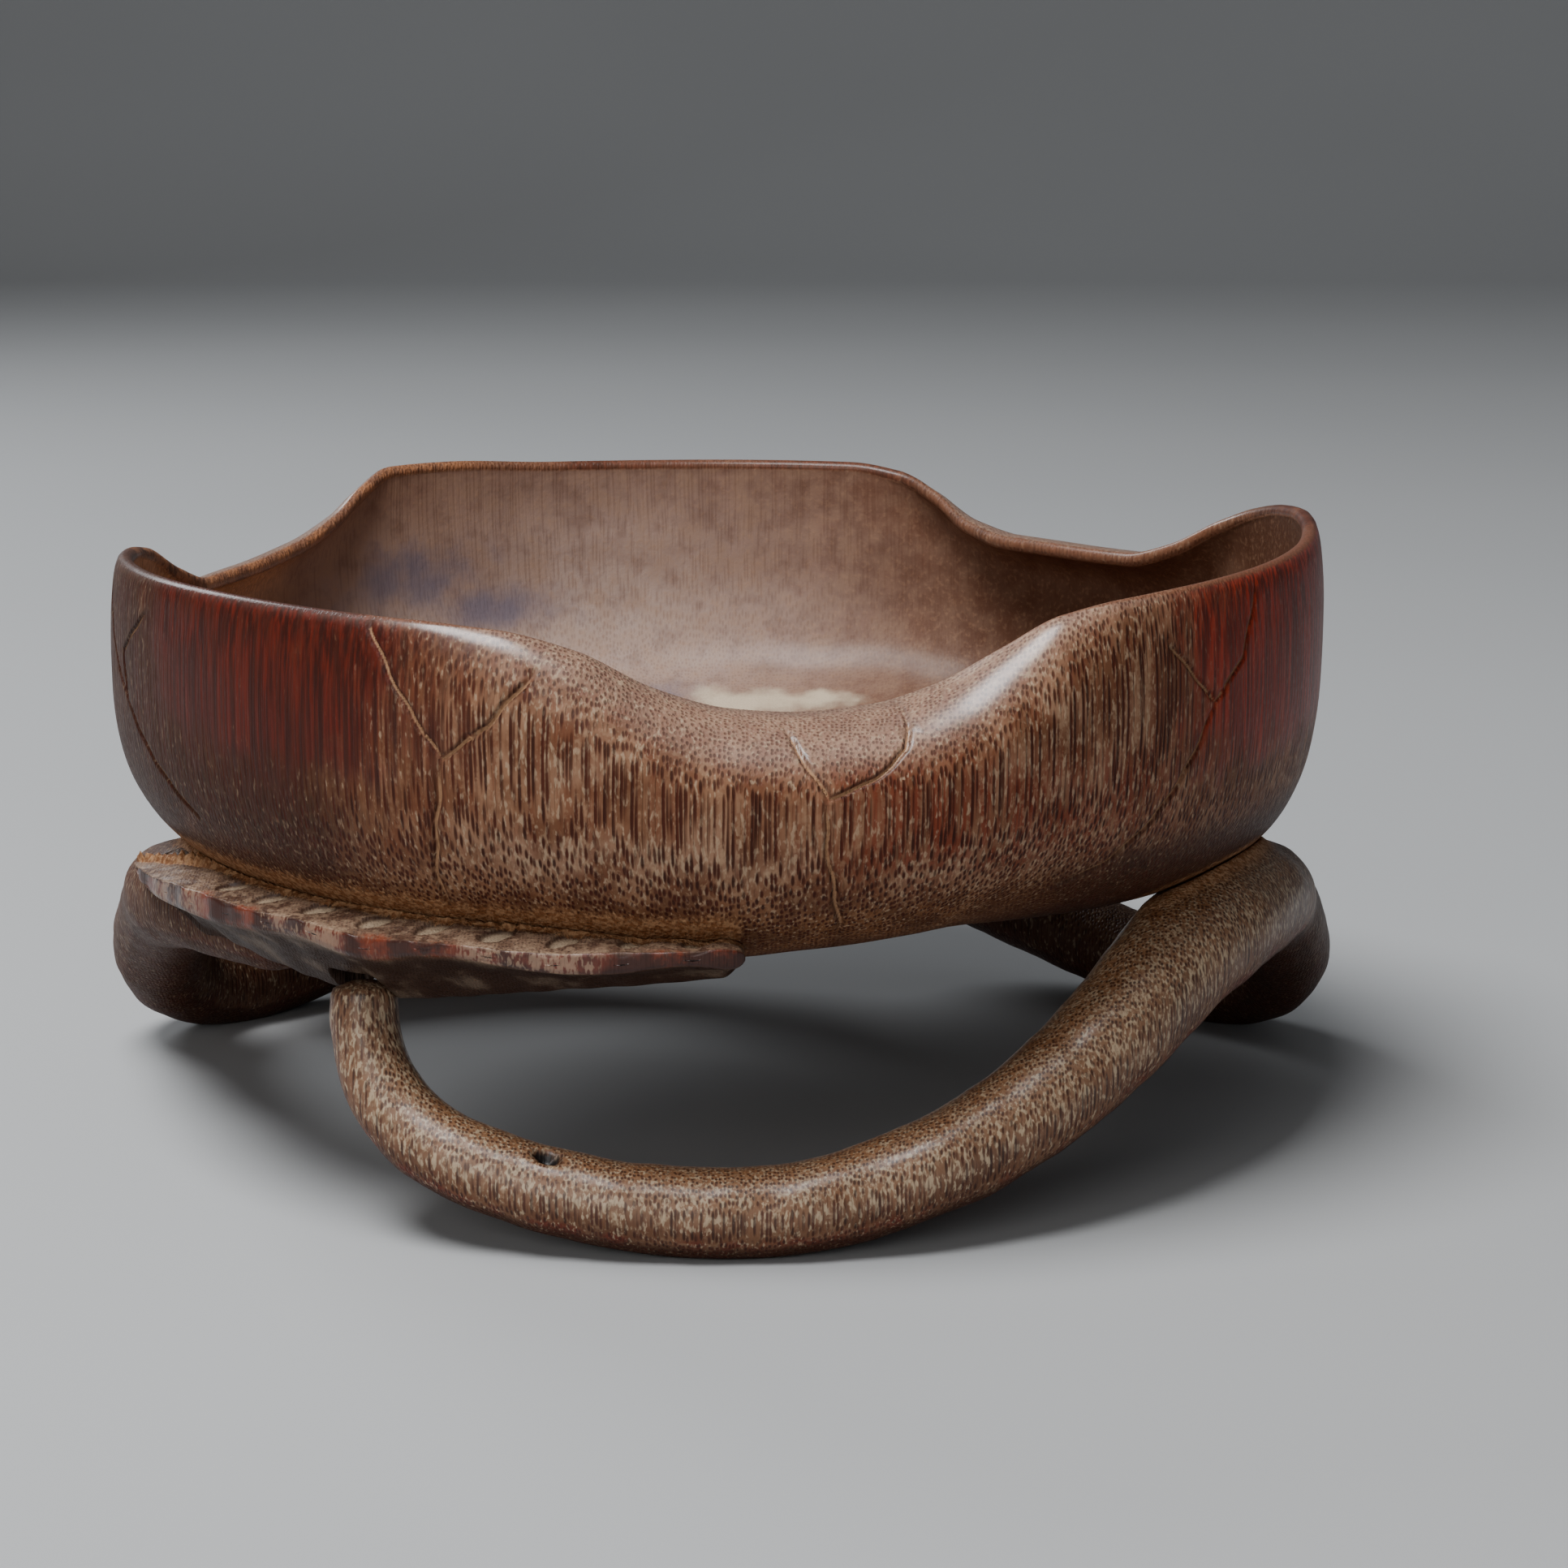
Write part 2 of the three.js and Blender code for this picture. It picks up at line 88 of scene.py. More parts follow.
RIM = [
    (-175, -0.6, 0), (-160, -0.3, 0), (-148, 0.8, 0), (-140, 1.0, 0.05), (-135, -1.1, 0.3),
    (-130, -4.7, 0.5), (-122, -7.8, 0.65), (-112, -9.2, 0.7), (-102, -9.4, 0.65),
    (-97, -6.6, 0.45), (-92, -2.8, 0.2), (-87, -1.9, 0.05), (-70, -0.6, 0), (-45, 0.1, 0),
    (-26, 0, 0.08), (-19, -0.5, 0.28), (-12, -3.1, 0.52), (-5, -8.4, 0.76), (2, -11.6, 0.95),
    (9, -12.4, 1), (16, -11.7, 0.98), (22, -9.2, 0.85), (28, -4.3, 0.6), (33, -0.3, 0.35),
    (39, 1.0, 0.12), (48, 1.3, 0), (75, 2.0, 0), (90, 2.8, 0), (99, 1.9, 0.02), (106, 0.2, 0.15),
    (111, -2.4, 0.4), (116, -6.7, 0.75), (122, -9.2, 0.95), (132, -9.6, 1), (142, -9.4, 1),
    (149, -7.6, 0.85), (155, -3.6, 0.5), (160, -1.4, 0.15), (166, -0.7, 0),
]
CORNER = [
    (-150, 5.2), (-90, 5.2), (0, 5), (10, 4.1), (25, 3.6), (38, 4.3), (60, 6.2), (85, 7.5),
    (120, 6.4), (165, 5.3),
]

# %% Numbers of the stems and the leaf
# A stem's rows: bearing, middle outside the cup's widest circle, underside as a share of the cup's
# height above the ground, radius.
FRONT_RUN = [
    (-36.5, -11, 0.83, 4.9), (-35.6, -10, 0.62, 5.0), (-33.4, -9.5, 0.42, 5.4),
    (-28, -9.5, 0.235, 5.8), (-19, -11.3, 0.105, 6.0), (-8, -12.6, 0.025, 6.2), (4, -13, 0, 6.3),
    (15, -12.6, 0.045, 6.6), (26, -11.6, 0.165, 7.1), (36, -10.9, 0.325, 7.6),
    (45, -10.4, 0.51, 8.2), (54, -10.2, 0.67, 8.8), (65, -9.6, 0.75, 9.0), (77, -8.6, 0.73, 8.7),
]
LEFT_RUN = [(-54, -20, 0.78, 5.5), (-63, -15.5, 0.8, 6.8), (-73, -11, 0.78, 8.1), (-81.5, -8.6, 0.71, 8.4)]
REAR_LEG = [
    (88.5, -7.2, 0.62, 8.2), (96, -3.2, 0.455, 7.9), (102, 0.9, 0.265, 7.7), (107, 2.1, 0.1, 7.6),
    (112.5, 0.4, 0.01, 7.5), (119, -3.8, 0, 7.4), (131, -9, 0.085, 7.3), (145, -12.5, 0.24, 7.2),
    (157, -15.5, 0.47, 7.0), (167, -18, 0.73, 6.8), (176, -20, 0.89, 6.4),
]
LONG_STEM = FRONT_RUN + REAR_LEG
SHORT_STEM = LEFT_RUN + [(-bearing, *rest) for bearing, *rest in REAR_LEG]

# The leaf's rows: bearing, crest out and up, lip out, lip top, lip foot, keel out and up.
LEAF = [
    (-73, -2.2, 6.0, -1.6, 5.8, 5.2, -3.0, 4.6), (-69, -4.5, 7.2, -1.1, 6.3, 4.8, -6.5, 1.2),
    (-63, -7.5, 8.9, -1.0, 6.9, 4.5, -9.5, -2.1), (-57, -9.5, 9.7, -1.0, 7.8, 4.8, -11.0, -2.9),
    (-50, -10.5, 9.9, -1.0, 8.2, 5.1, -11.7, -3.5), (-44, -10.5, 10, -1.0, 8.1, 6.0, -12.0, -4.1),
    (-38.5, -10.5, 10.1, -1.0, 8.4, 6.5, -12.3, -4.7), (-31.5, -10.5, 10.1, -1.0, 7.7, 5.1, -12.5, -4.2),
    (-25, -10.5, 10, -1.0, 8.2, 6.7, -12.5, -2.8), (-21, -10.5, 10, -1.0, 8.3, 6.8, -12.3, -1.7),
    (-14, -10.5, 10, -1.0, 8.1, 5.8, -12.0, -0.1), (-8, -10.5, 9.9, -1.0, 8.7, 6.0, -11.7, 0.9),
    (-2, -10, 9.8, -1.0, 9.1, 7.3, -11.3, 2.1), (3.2, -9.5, 9.7, -1.3, 9.6, 6.3, -10.7, 3.1),
]
LEAF_HOLLOW = 0.8
LEAF_ROOT = 6

# %% [markdown]
# ## Smooth curves through a few numbers
#
# A carver feels for a fair curve between a few marks. Two small functions do the same: one runs
# through rows along a member, the other runs round the full circle and never overshoots, so that a
# lobe stays level between its marks. Everything takes whole arrays, because a skin has tens of
# thousands of points.


# %% Curves
def through(rows):
    """A smooth function through rows, from 0 at the first row to 1 at the last."""
    rows = np.array(rows, float)

    def at(share):
        place = np.clip(share, 0, 1) * (len(rows) - 1)
        i = np.minimum(place.astype(int), len(rows) - 2)
        t = (place - i)[:, None]
        a, b = rows[np.maximum(i - 1, 0)], rows[i]
        c, d = rows[i + 1], rows[np.minimum(i + 2, len(rows) - 1)]
        return b + 0.5 * t * (c - a + t * (2 * a - 5 * b + 4 * c - d + t * (3 * (b - c) + d - a)))

    return at


def round_the_cup(rows):
    """A smooth function of the bearing, through rows that start with one."""
    rows = np.array(rows, float)
    bearings, values = rows[:, 0], rows[:, 1:]
    width = np.diff(np.append(bearings, bearings[0] + 360))
    after = (np.roll(values, -1, axis=0) - values) / width[:, None]
    before = np.roll(after, 1, axis=0)
    agree = before * after > 0
    slope = np.where(agree, 2 * before * after / np.where(agree, before + after, 1), 0)

    def at(bearing):
        turned = bearing - 360 * np.floor((bearing - bearings[0]) / 360)
        i = np.clip(np.searchsorted(bearings, turned, side="right") - 1, 0, len(rows) - 1)
        j = (i + 1) % len(rows)
        w = width[i][:, None]
        t = (turned - bearings[i])[:, None] / w
        ease = t * t * (3 - 2 * t)
        bend = t * (1 - t) ** 2 * w * slope[i] + t * t * (t - 1) * w * slope[j]
        return values[i] + (values[j] - values[i]) * ease + bend

    return at


# %% Bearings, soft steps and wandering
def around(bearing, distance, height):
    """Points at bearings, distances from the axis and heights."""
    a = np.radians(bearing)
    return np.stack([distance * np.sin(a), -distance * np.cos(a), height + 0 * a], axis=-1)


def bearing_of(points):
    return np.degrees(np.arctan2(points[:, 0], -points[:, 1]))


def smoothstep(low, high, x):
    t = np.clip((x - low) / (high - low), 0, 1)
    return t * t * (3 - 2 * t)


def between(low, high, soft, x):
    """1 between two values, fading to 0 outside them."""
    return smoothstep(low - soft, low + soft, x) * (1 - smoothstep(high - soft, high + soft, x))


def unit(ways):
    """Directions, each made one long."""
    return ways / np.maximum(np.linalg.norm(ways, axis=1), 1e-6)[:, None]


def run_of(steps):
    """How far along a line each point is, from the steps between them."""
    return np.append(0, np.cumsum(steps))


WAVES, CALM = 7, 4  # waves summed in a waver, and what brings their sum back to about 1


def waver(points, length, seed):
    """A slow, even wandering between -1 and 1, about `length` millimetres long."""
    dice = np.random.default_rng(seed)
    total = 0
    for _ in range(WAVES):
        way = dice.normal(size=3)
        way /= np.linalg.norm(way)
        pace = 2 * math.pi / length * dice.uniform(0.6, 1.5)
        total = total + np.sin(points @ way * pace + dice.uniform(0, 6.28))
    return total / CALM


rim_at, corner_at = round_the_cup(RIM), round_the_cup(CORNER)
print("rim at the front dip, mm:", round(RIM_HEIGHT + float(rim_at(np.array([9.0]))[0, 0]), 1))

# %% [markdown]
# ## The cup's profile
#
# From the middle of its underside the cup runs out almost flat, turns up round a soft corner to its
# widest circle, and then curves in to the rim. The lower part is a superellipse, which gives that
# full, bun-like corner, and the upper part is an arc that turns further where the rim folds in. The
# wall is this profile moved along its own normal, thick at the floor and thin at the rim.


# %% The profile
class Cup:
    """The cup's sizes at many bearings at once."""

    def __init__(self, bearing):
        rise, fold = rim_at(bearing).T
        self.rim = RIM_HEIGHT + rise
        self.belly = self.rim - (LOBE_BELLY + (FOLD_BELLY - LOBE_BELLY) * fold)
        self.lean = LOBE_LEAN + (FOLD_LEAN - LOBE_LEAN) * fold
        self.turn = np.radians(LOBE_TURN + (FOLD_TURN - LOBE_TURN) * fold)
        self.corner = corner_at(bearing)[:, 0]


def outer_profile(cup, share):
    """Distance and height on the skin, from share 0 under the middle to 1 at the rim."""
    t = np.clip(share / LOWER_SHARE, 0, 1) * math.pi / 2
    low_r = CUP_RADIUS * np.sin(t) ** (2 / cup.corner)
    low_z = cup.belly - (cup.belly - CUP_BOTTOM) * np.maximum(np.cos(t), 0) ** (2 / CORNER_DEPTH)
    s = np.clip((share - LOWER_SHARE) / (1 - LOWER_SHARE), 0, 1) * cup.turn
    rise = (cup.rim - cup.belly) / np.minimum(1, np.sin(cup.turn))
    high_r, high_z = CUP_RADIUS - cup.lean * (1 - np.cos(s)), cup.belly + rise * np.sin(s)
    low = share < LOWER_SHARE
    return np.where(low, low_r, high_r), np.where(low, low_z, high_z)


def profile_normal(cup, share):
    """The direction straight out of the skin, as distance and height."""
    step = 1e-3
    r0, z0 = outer_profile(cup, np.maximum(share - step, 0))
    r1, z1 = outer_profile(cup, np.minimum(share + step, 1))
    length = np.hypot(r1 - r0, z1 - z0)
    return (z1 - z0) / length, -(r1 - r0) / length


def wall_at(share):
    low = FLOOR_THICK + (WALL_THICK - FLOOR_THICK) * np.clip(share / LOWER_SHARE, 0, 1) ** 2
    high = WALL_THICK + (RIM_THICK - WALL_THICK) * (share - LOWER_SHARE) / (1 - LOWER_SHARE)
    return np.where(share < LOWER_SHARE, low, high)


# %% Steps along the profile
USUAL_BEARING = -60.0  # the middle of the front left lobe


def even_shares(floor_step, wall_step, floor_reach=66):
    """Shares that lie evenly along a usual profile: coarser on the flat floor, finer up the wall."""
    fine = np.linspace(0, 1, 60001)
    usual = Cup(np.full(fine.size, USUAL_BEARING))
    r, z = outer_profile(usual, fine)
    run = run_of(np.hypot(np.diff(r), np.diff(z)))
    floor = np.linspace(0, floor_reach, round(floor_reach / floor_step), endpoint=False)
    wall = np.linspace(floor_reach, run[-1], round((run[-1] - floor_reach) / wall_step) + 1)
    return np.interp(np.append(floor, wall), run, fine)


# %% [markdown]
# ## The veins
#
# Each vein is cut with a small V-tool: one stroke up the wall that forks in two below the rim. They
# are written as strokes on the unrolled wall, bearing and height, and each groove is pressed into the
# real skin, because a groove that is only painted goes flat when the bowl turns. The bowl's hidden
# sides carry the same forked veins, spaced as on the seen side.

# %% The veins' strokes
VEINS = [
    [(-24.1, 49), (-24.1, 52.4), (-22.8, 64.1), (-22.3, 70.1)],
    [(-22.3, 70.1), (-26.4, 78.7), (-30.5, 89)],
    [(-22.3, 70.1), (-18.2, 74.9), (-14.3, 82.1)],
    [(11.9, 46), (11.4, 49), (10.6, 53.4), (9.8, 60), (10, 65.9)],
    [(10, 65.9), (8.6, 69.7), (6.8, 74.1)],
    [(10, 65.9), (14, 68.3), (17.1, 71.8), (18, 76)],
    [(33, 48.6), (34.4, 49.8), (38.3, 52.3), (42.2, 58.1), (46.3, 66.2), (49.1, 72.9)],
    [(49.1, 72.9), (53.5, 78.1), (56.7, 88)],
    [(49.1, 72.9), (45.4, 78.2), (42.7, 82.6)],
    [(-53.6, 55.1), (-60.3, 61.3), (-67.3, 68.7)],
    [(-67.3, 68.7), (-68.3, 75.5), (-61.4, 82.5)],
    [(-67.3, 68.7), (-72, 74), (-78, 84)],
]
for middle, lean in ((86, 3), (113, -2), (137, 2), (168, -3), (-159, 3), (-128, -3), (-104, 2)):
    VEINS += [
        [(middle - lean, 49), (middle - 0.4 * lean, 58), (middle, 66.5)],
        [(middle, 66.5), (middle - 3.2, 71.5), (middle - 5.2, 76)],
        [(middle, 66.5), (middle + 3.8, 70.5), (middle + 6.6, 75)],
    ]
VEIN_HALF, VEIN_DEPTH = 0.52, 0.6
VEIN_POINT_STEP = 0.3
VEIN_NEAR = 1.7  # faces this near a stroke are divided
HAND_SHAKE = 0.12  # how far the tool strays, in degrees
MM_PER_DEGREE = math.radians(CUP_RADIUS)


def vein_points():
    """Each stroke as points on the real skin, and how deep the tool is at each."""
    spots, depths = [], []
    for stroke in VEINS:
        bearing, height = np.array(stroke, float).T
        run = run_of(np.hypot(np.diff(bearing) * MM_PER_DEGREE, np.diff(height)))
        at = np.linspace(0, run[-1], round(run[-1] / VEIN_POINT_STEP))
        bearing, height = np.interp(at, run, bearing), np.interp(at, run, height)
        bearing = bearing + HAND_SHAKE * np.sin(at * 0.9)
        shares = np.linspace(0.05, 1, 400)
        for b, h, s in zip(bearing, height, at / run[-1]):
            r, z = outer_profile(Cup(np.full(shares.size, b)), shares)
            share = np.interp(h, np.maximum.accumulate(z), shares)
            r, z = outer_profile(Cup(np.array([b])), np.array([share]))
            spots.append(around(b, r[0], z[0]))
            depths.append(min(1, 0.35 + 4 * (1 - s), 0.6 + 4 * s))
    return np.array(spots), np.array(depths)


vein_spots, vein_depths = vein_points()
vein_tree = KDTree(len(vein_spots))
for i, spot in enumerate(vein_spots):
    vein_tree.insert(spot, i)
vein_tree.balance()


def vein_distance(points):
    """How far each point is from the nearest stroke, in mm, and the tool's depth there."""
    found = [vein_tree.find(p) for p in points]
    return np.array([f[2] for f in found]), vein_depths[[f[1] for f in found]]


print("strokes of the V-tool:", len(VEINS))

# %% [markdown]
# ## The cup
#
# The cup could be a surface of revolution if its rim didn't wave. So it starts as one: a line of
# vertices is spun into a plain drum, where a vertex's height is just its number along the profile.
# Each vertex then knows its bearing and its place on the profile, and moves to where the carved skin
# is. Faces near a vein are divided before that, so the groove has points to form it.

# %% Places along the profile
ROUND = 440
LIP_FLAT = 0.48  # the lip is nearly a half circle, as deep as this share of its thickness
outside_shares = even_shares(5.5, 1.15)
inside_shares = even_shares(4.4, 1.5, 60)[::-1]
LIP_STEPS = 7
LIP_FROM = len(outside_shares) - 1
LIP_TO = LIP_FROM + LIP_STEPS
LAST = LIP_TO + len(inside_shares) - 1


def place_on_cup(bearing, number):
    """The carved skin's points, for bearings and numbers along the profile, and their zones."""
    cup = Cup(bearing)
    inner = number > LIP_TO - 0.5
    lip = (number > LIP_FROM) & ~inner
    share = np.where(
        inner,
        np.interp(number, np.arange(LIP_TO, LAST + 1), inside_shares),
        np.interp(number, np.arange(LIP_FROM + 1), outside_shares),
    )
    r, z = outer_profile(cup, share)
    out_r, out_z = profile_normal(cup, share)
    thick = np.where(inner, wall_at(share), 0)
    r0, z0 = outer_profile(cup, np.ones_like(share))
    turn = np.clip((number - LIP_FROM) / LIP_STEPS, 0, 1) * math.pi
    back, over = -0.5 * RIM_THICK * (1 - np.cos(turn)), LIP_FLAT * RIM_THICK * np.sin(turn)
    end_r, end_z = profile_normal(cup, np.ones_like(share))
    lip_r = r0 + end_r * back - end_z * over
    lip_z = z0 + end_z * back + end_r * over
    r = np.where(lip, lip_r, r - thick * out_r)
    z = np.where(lip, lip_z, z - thick * out_z)
    return np.maximum(r, 0), z, out_r, out_z, inner, lip


# %% Spinning the drum
def wire_drum():
    """A drum spun from a line of vertices, numbered up the profile by their height."""
    bm = bmesh.new()
    for number in range(LAST + 1):
        bm.verts.new((0 if number in (0, LAST) else 1, 0, number))
    bm.verts.ensure_lookup_table()
    for a, b in zip(bm.verts[:-1], bm.verts[1:]):
        bm.edges.new((a, b))
    bmesh.ops.spin(
        bm, geom=bm.verts[:] + bm.edges[:], cent=(0, 0, 0), axis=(0, 0, 1), angle=2 * math.pi,
        steps=ROUND, use_merge=True,
    )
    bmesh.ops.remove_doubles(bm, verts=bm.verts, dist=1e-4)
    return bm


def corners(bm):
    return np.array([v.co for v in bm.verts], float)


drum = wire_drum()
co = corners(drum)
r, z, *_ = place_on_cup(bearing_of(co), co[:, 2])
near = (vein_distance(around(bearing_of(co), r, z))[0] < VEIN_NEAR) & (co[:, 2] < LIP_FROM)
drum.verts.ensure_lookup_table()
cut = [e for e in drum.edges if near[e.verts[0].index] and near[e.verts[1].index]]
bmesh.ops.subdivide_edges(drum, edges=cut, cuts=3, use_grid_fill=True)
print("drum:", len(drum.verts), "vertices,", len(cut), "edges divided for the veins")

# %% [markdown]
# ## Where things touch
#
# The stems and the leaf are seated on the cup. Their skins are pressed out to the cup's own curve, so
# nothing cuts through it. One function measures how far a point is from the cup's skin and in which
# direction, another how far it is from a stem.


# %% Distance to the cup and to a stem
SEARCH = np.linspace(0.02, 1, 160)
SEARCH_FINER = (0.003, 0.0012, 0.0005)


def cup_skin(points):
    """The distance of points outside the cup's skin, and the outward direction there."""
    bearing, r, z = bearing_of(points), np.hypot(points[:, 0], points[:, 1]), points[:, 2]
    cup = Cup(bearing)

    def nearer(trial, best, share):
        rs, zs = outer_profile(cup, trial)
        d = np.hypot(r - rs, z - zs)
        closer = d < best
        return np.where(closer, d, best), np.where(closer, trial, share)

    best, share = np.full(len(points), 1e9), np.zeros(len(points))
    for s in SEARCH:
        best, share = nearer(np.full(len(points), s), best, share)
    for step in SEARCH_FINER:
        for way in (-1, 1):
            best, share = nearer(np.clip(share + way * step, 0, 1), best, share)
    rs, zs = outer_profile(cup, share)
    nr, nz = profile_normal(cup, share)
    outward = around(bearing, nr, nz)
    foot = around(bearing, rs, zs)
    return np.sum((points - foot) * outward, axis=1), outward, foot


def stem_line(rows):
    """The middle and radius of a stem at shares of its length."""
    curve = through(rows)

    def at(share):
        bearing, outside, underside, radius = curve(share).T
        return around(bearing, CUP_RADIUS + outside, underside * CUP_BOTTOM + radius - STEM_FLAT), radius

    return at


def stem_skin(points, rows):
    """The distance of points outside a stem, and the direction away from its middle."""
    middles, radii = stem_line(rows)(np.linspace(0, 1, 500))
    best, away = np.full(len(points), 1e9), np.zeros_like(points)
    for middle, radius in zip(middles, radii):
        offset = points - middle
        length = np.linalg.norm(offset, axis=1)
        d = length - radius
        closer = d < best
        best = np.where(closer, d, best)
        away[closer] = offset[closer] / np.maximum(length[closer], 1e-6)[:, None]
    return best, away


# %% Finishing a skin
UNDER_TOP = 0.02  # a carved rim stays this far under the measured top


def skin_mesh(name, bm, points, traits):
    """Finishes a skin: moves its vertices, in mm, and keeps its traits for the finish to read."""
    points[:, 2] = np.minimum(points[:, 2], cad_high[2] / MM - UNDER_TOP)
    for v, p in zip(bm.verts, points * MM):
        v.co = p
    bmesh.ops.recalc_face_normals(bm, faces=bm.faces)
    for f in bm.faces:
        f.smooth = True
    mesh = bpy.data.meshes.new(name)
    bm.to_mesh(mesh)
    bm.free()
    for trait, values in traits.items():
        mesh.attributes.new(trait, "FLOAT", "POINT").data.foreach_set("value", values.astype(np.float32))
    piece = bpy.data.objects.new(name, mesh)
    bpy.context.scene.collection.objects.link(piece)
    mesh.calc_loop_triangles()
    size = [round(1000 * s, 1) for s in piece.dimensions]
    print(f"{name}: {len(mesh.loop_triangles)} triangles, {size} mm")
    return piece


# %% [markdown]
# ### Where the cup is red, dusty and stained, and where shade and light are painted
#
# Wood wears unevenly, and painted shade and light lie in their own places, so a finish has to know
# where it is. Each zone is a few soft boxes on the unrolled wall. It is kept on the skin's vertices as
# a number from 0 to 1, which a finish can mix with noise.

# %% Zones
STEMS_BELOW = 62  # no stem touches the cup above this height
LEAF_LINE = 10.4  # the leaf's joint runs this far above the cup's underside
DUST_REACH = 5.0  # dust lies this far from a joint
ANY = 999  # past every bearing and height


def strongest(*zones):
    return np.clip(np.maximum.reduce(zones), 0, 1)


# Zones outside the cup: how strong, bearings from and to and how softly, heights the same way.
RED_SKIN = [
    (1, -60, -22, 14, 64, ANY, 12), (1, 44, 100, 12, 62, ANY, 10), (0.5, -94, -78, 5, 66, ANY, 6),
    (1, 158, 181, 8, 66, ANY, 6), (1, -181, -158, 8, 66, ANY, 6),
]
DUST = [
    (1, -22, 10, 8, 54, 62, 5), (0.7, 12, 44, 8, 50, 60, 6), (0.6, -18, -4, 6, 66, 86, 4),
    (0.5, 20, 46, 8, 60, 86, 5), (0.4, 100, 188, 8, 52, 66, 5), (0.4, -188, -100, 8, 52, 66, 5),
]
DARK_LEFT = [(1, -100, -30, 10, -ANY, ANY, 1)]
WORN_LOW = [(0.25, -60, -25, 8, -ANY, 55, 5)]
# Painted shade under the cup and down its right side, and a darker back:
PAINTED_SHADE_ZONES = [
    (1, 32, 110, 12, -ANY, 55, 7), (0.7, 78, 110, 8, -ANY, ANY, 1), (0.55, -ANY, ANY, 1, -ANY, 43, 3),
    (0.45, 115, 181, 8, -ANY, ANY, 1), (0.45, -181, -115, 8, -ANY, ANY, 1),
]


def zone(rows, bearing, z):
    """The strongest of a few soft boxes on the unrolled wall."""
    return strongest(*[
        strong * between(start, end, soft, bearing) * between(low, high, soft_up, z)
        for strong, start, end, soft, low, high, soft_up in rows
    ])


def cup_stain_and_shade(bearing, z):
    """Dark stain on the left wall, least where it is worn low down; painted shade under the cup and down
    its right side; a darker back.
    """
    left = zone(DARK_LEFT, bearing, z) * (1 - zone(WORN_LOW, bearing, z))
    return np.maximum(left, zone(PAINTED_SHADE_ZONES, bearing, z))


# Stains and painted sheen inside the cup: bearing, height, half width, half height.
BLUE_PATCHES = [(-142, 69.5, 17, 7.5), (-152, 63, 15, 5.5), (-170, 48, 11, 2.8), (-127, 63, 10, 6)]
PALE_PATCHES = [(177, 47.5, 16, 2.2), (167, 47.8, 8, 1.7)]
PAINTED_SHEEN_PATCHES = [(-163, 60, 40, 26), (-140, 60, 24, 20)]
INNER_ARC = 0.88  # a degree inside the cup is this much shorter


def cup_patches(skin, patches):
    total = np.zeros(len(skin))
    for bearing, height, half_wide, half_high in patches:
        across = ((bearing_of(skin) - bearing + 180) % 360 - 180) * MM_PER_DEGREE * INNER_ARC
        up = skin[:, 2] - height
        total = np.maximum(total, np.exp(-((across / half_wide) ** 2) - (up / half_high) ** 2))
    return total * off_centre(skin)


def off_centre(skin):
    """0 in the middle of the cup's floor, 1 near its wall."""
    return smoothstep(14, 62, np.hypot(skin[:, 0], skin[:, 1]))


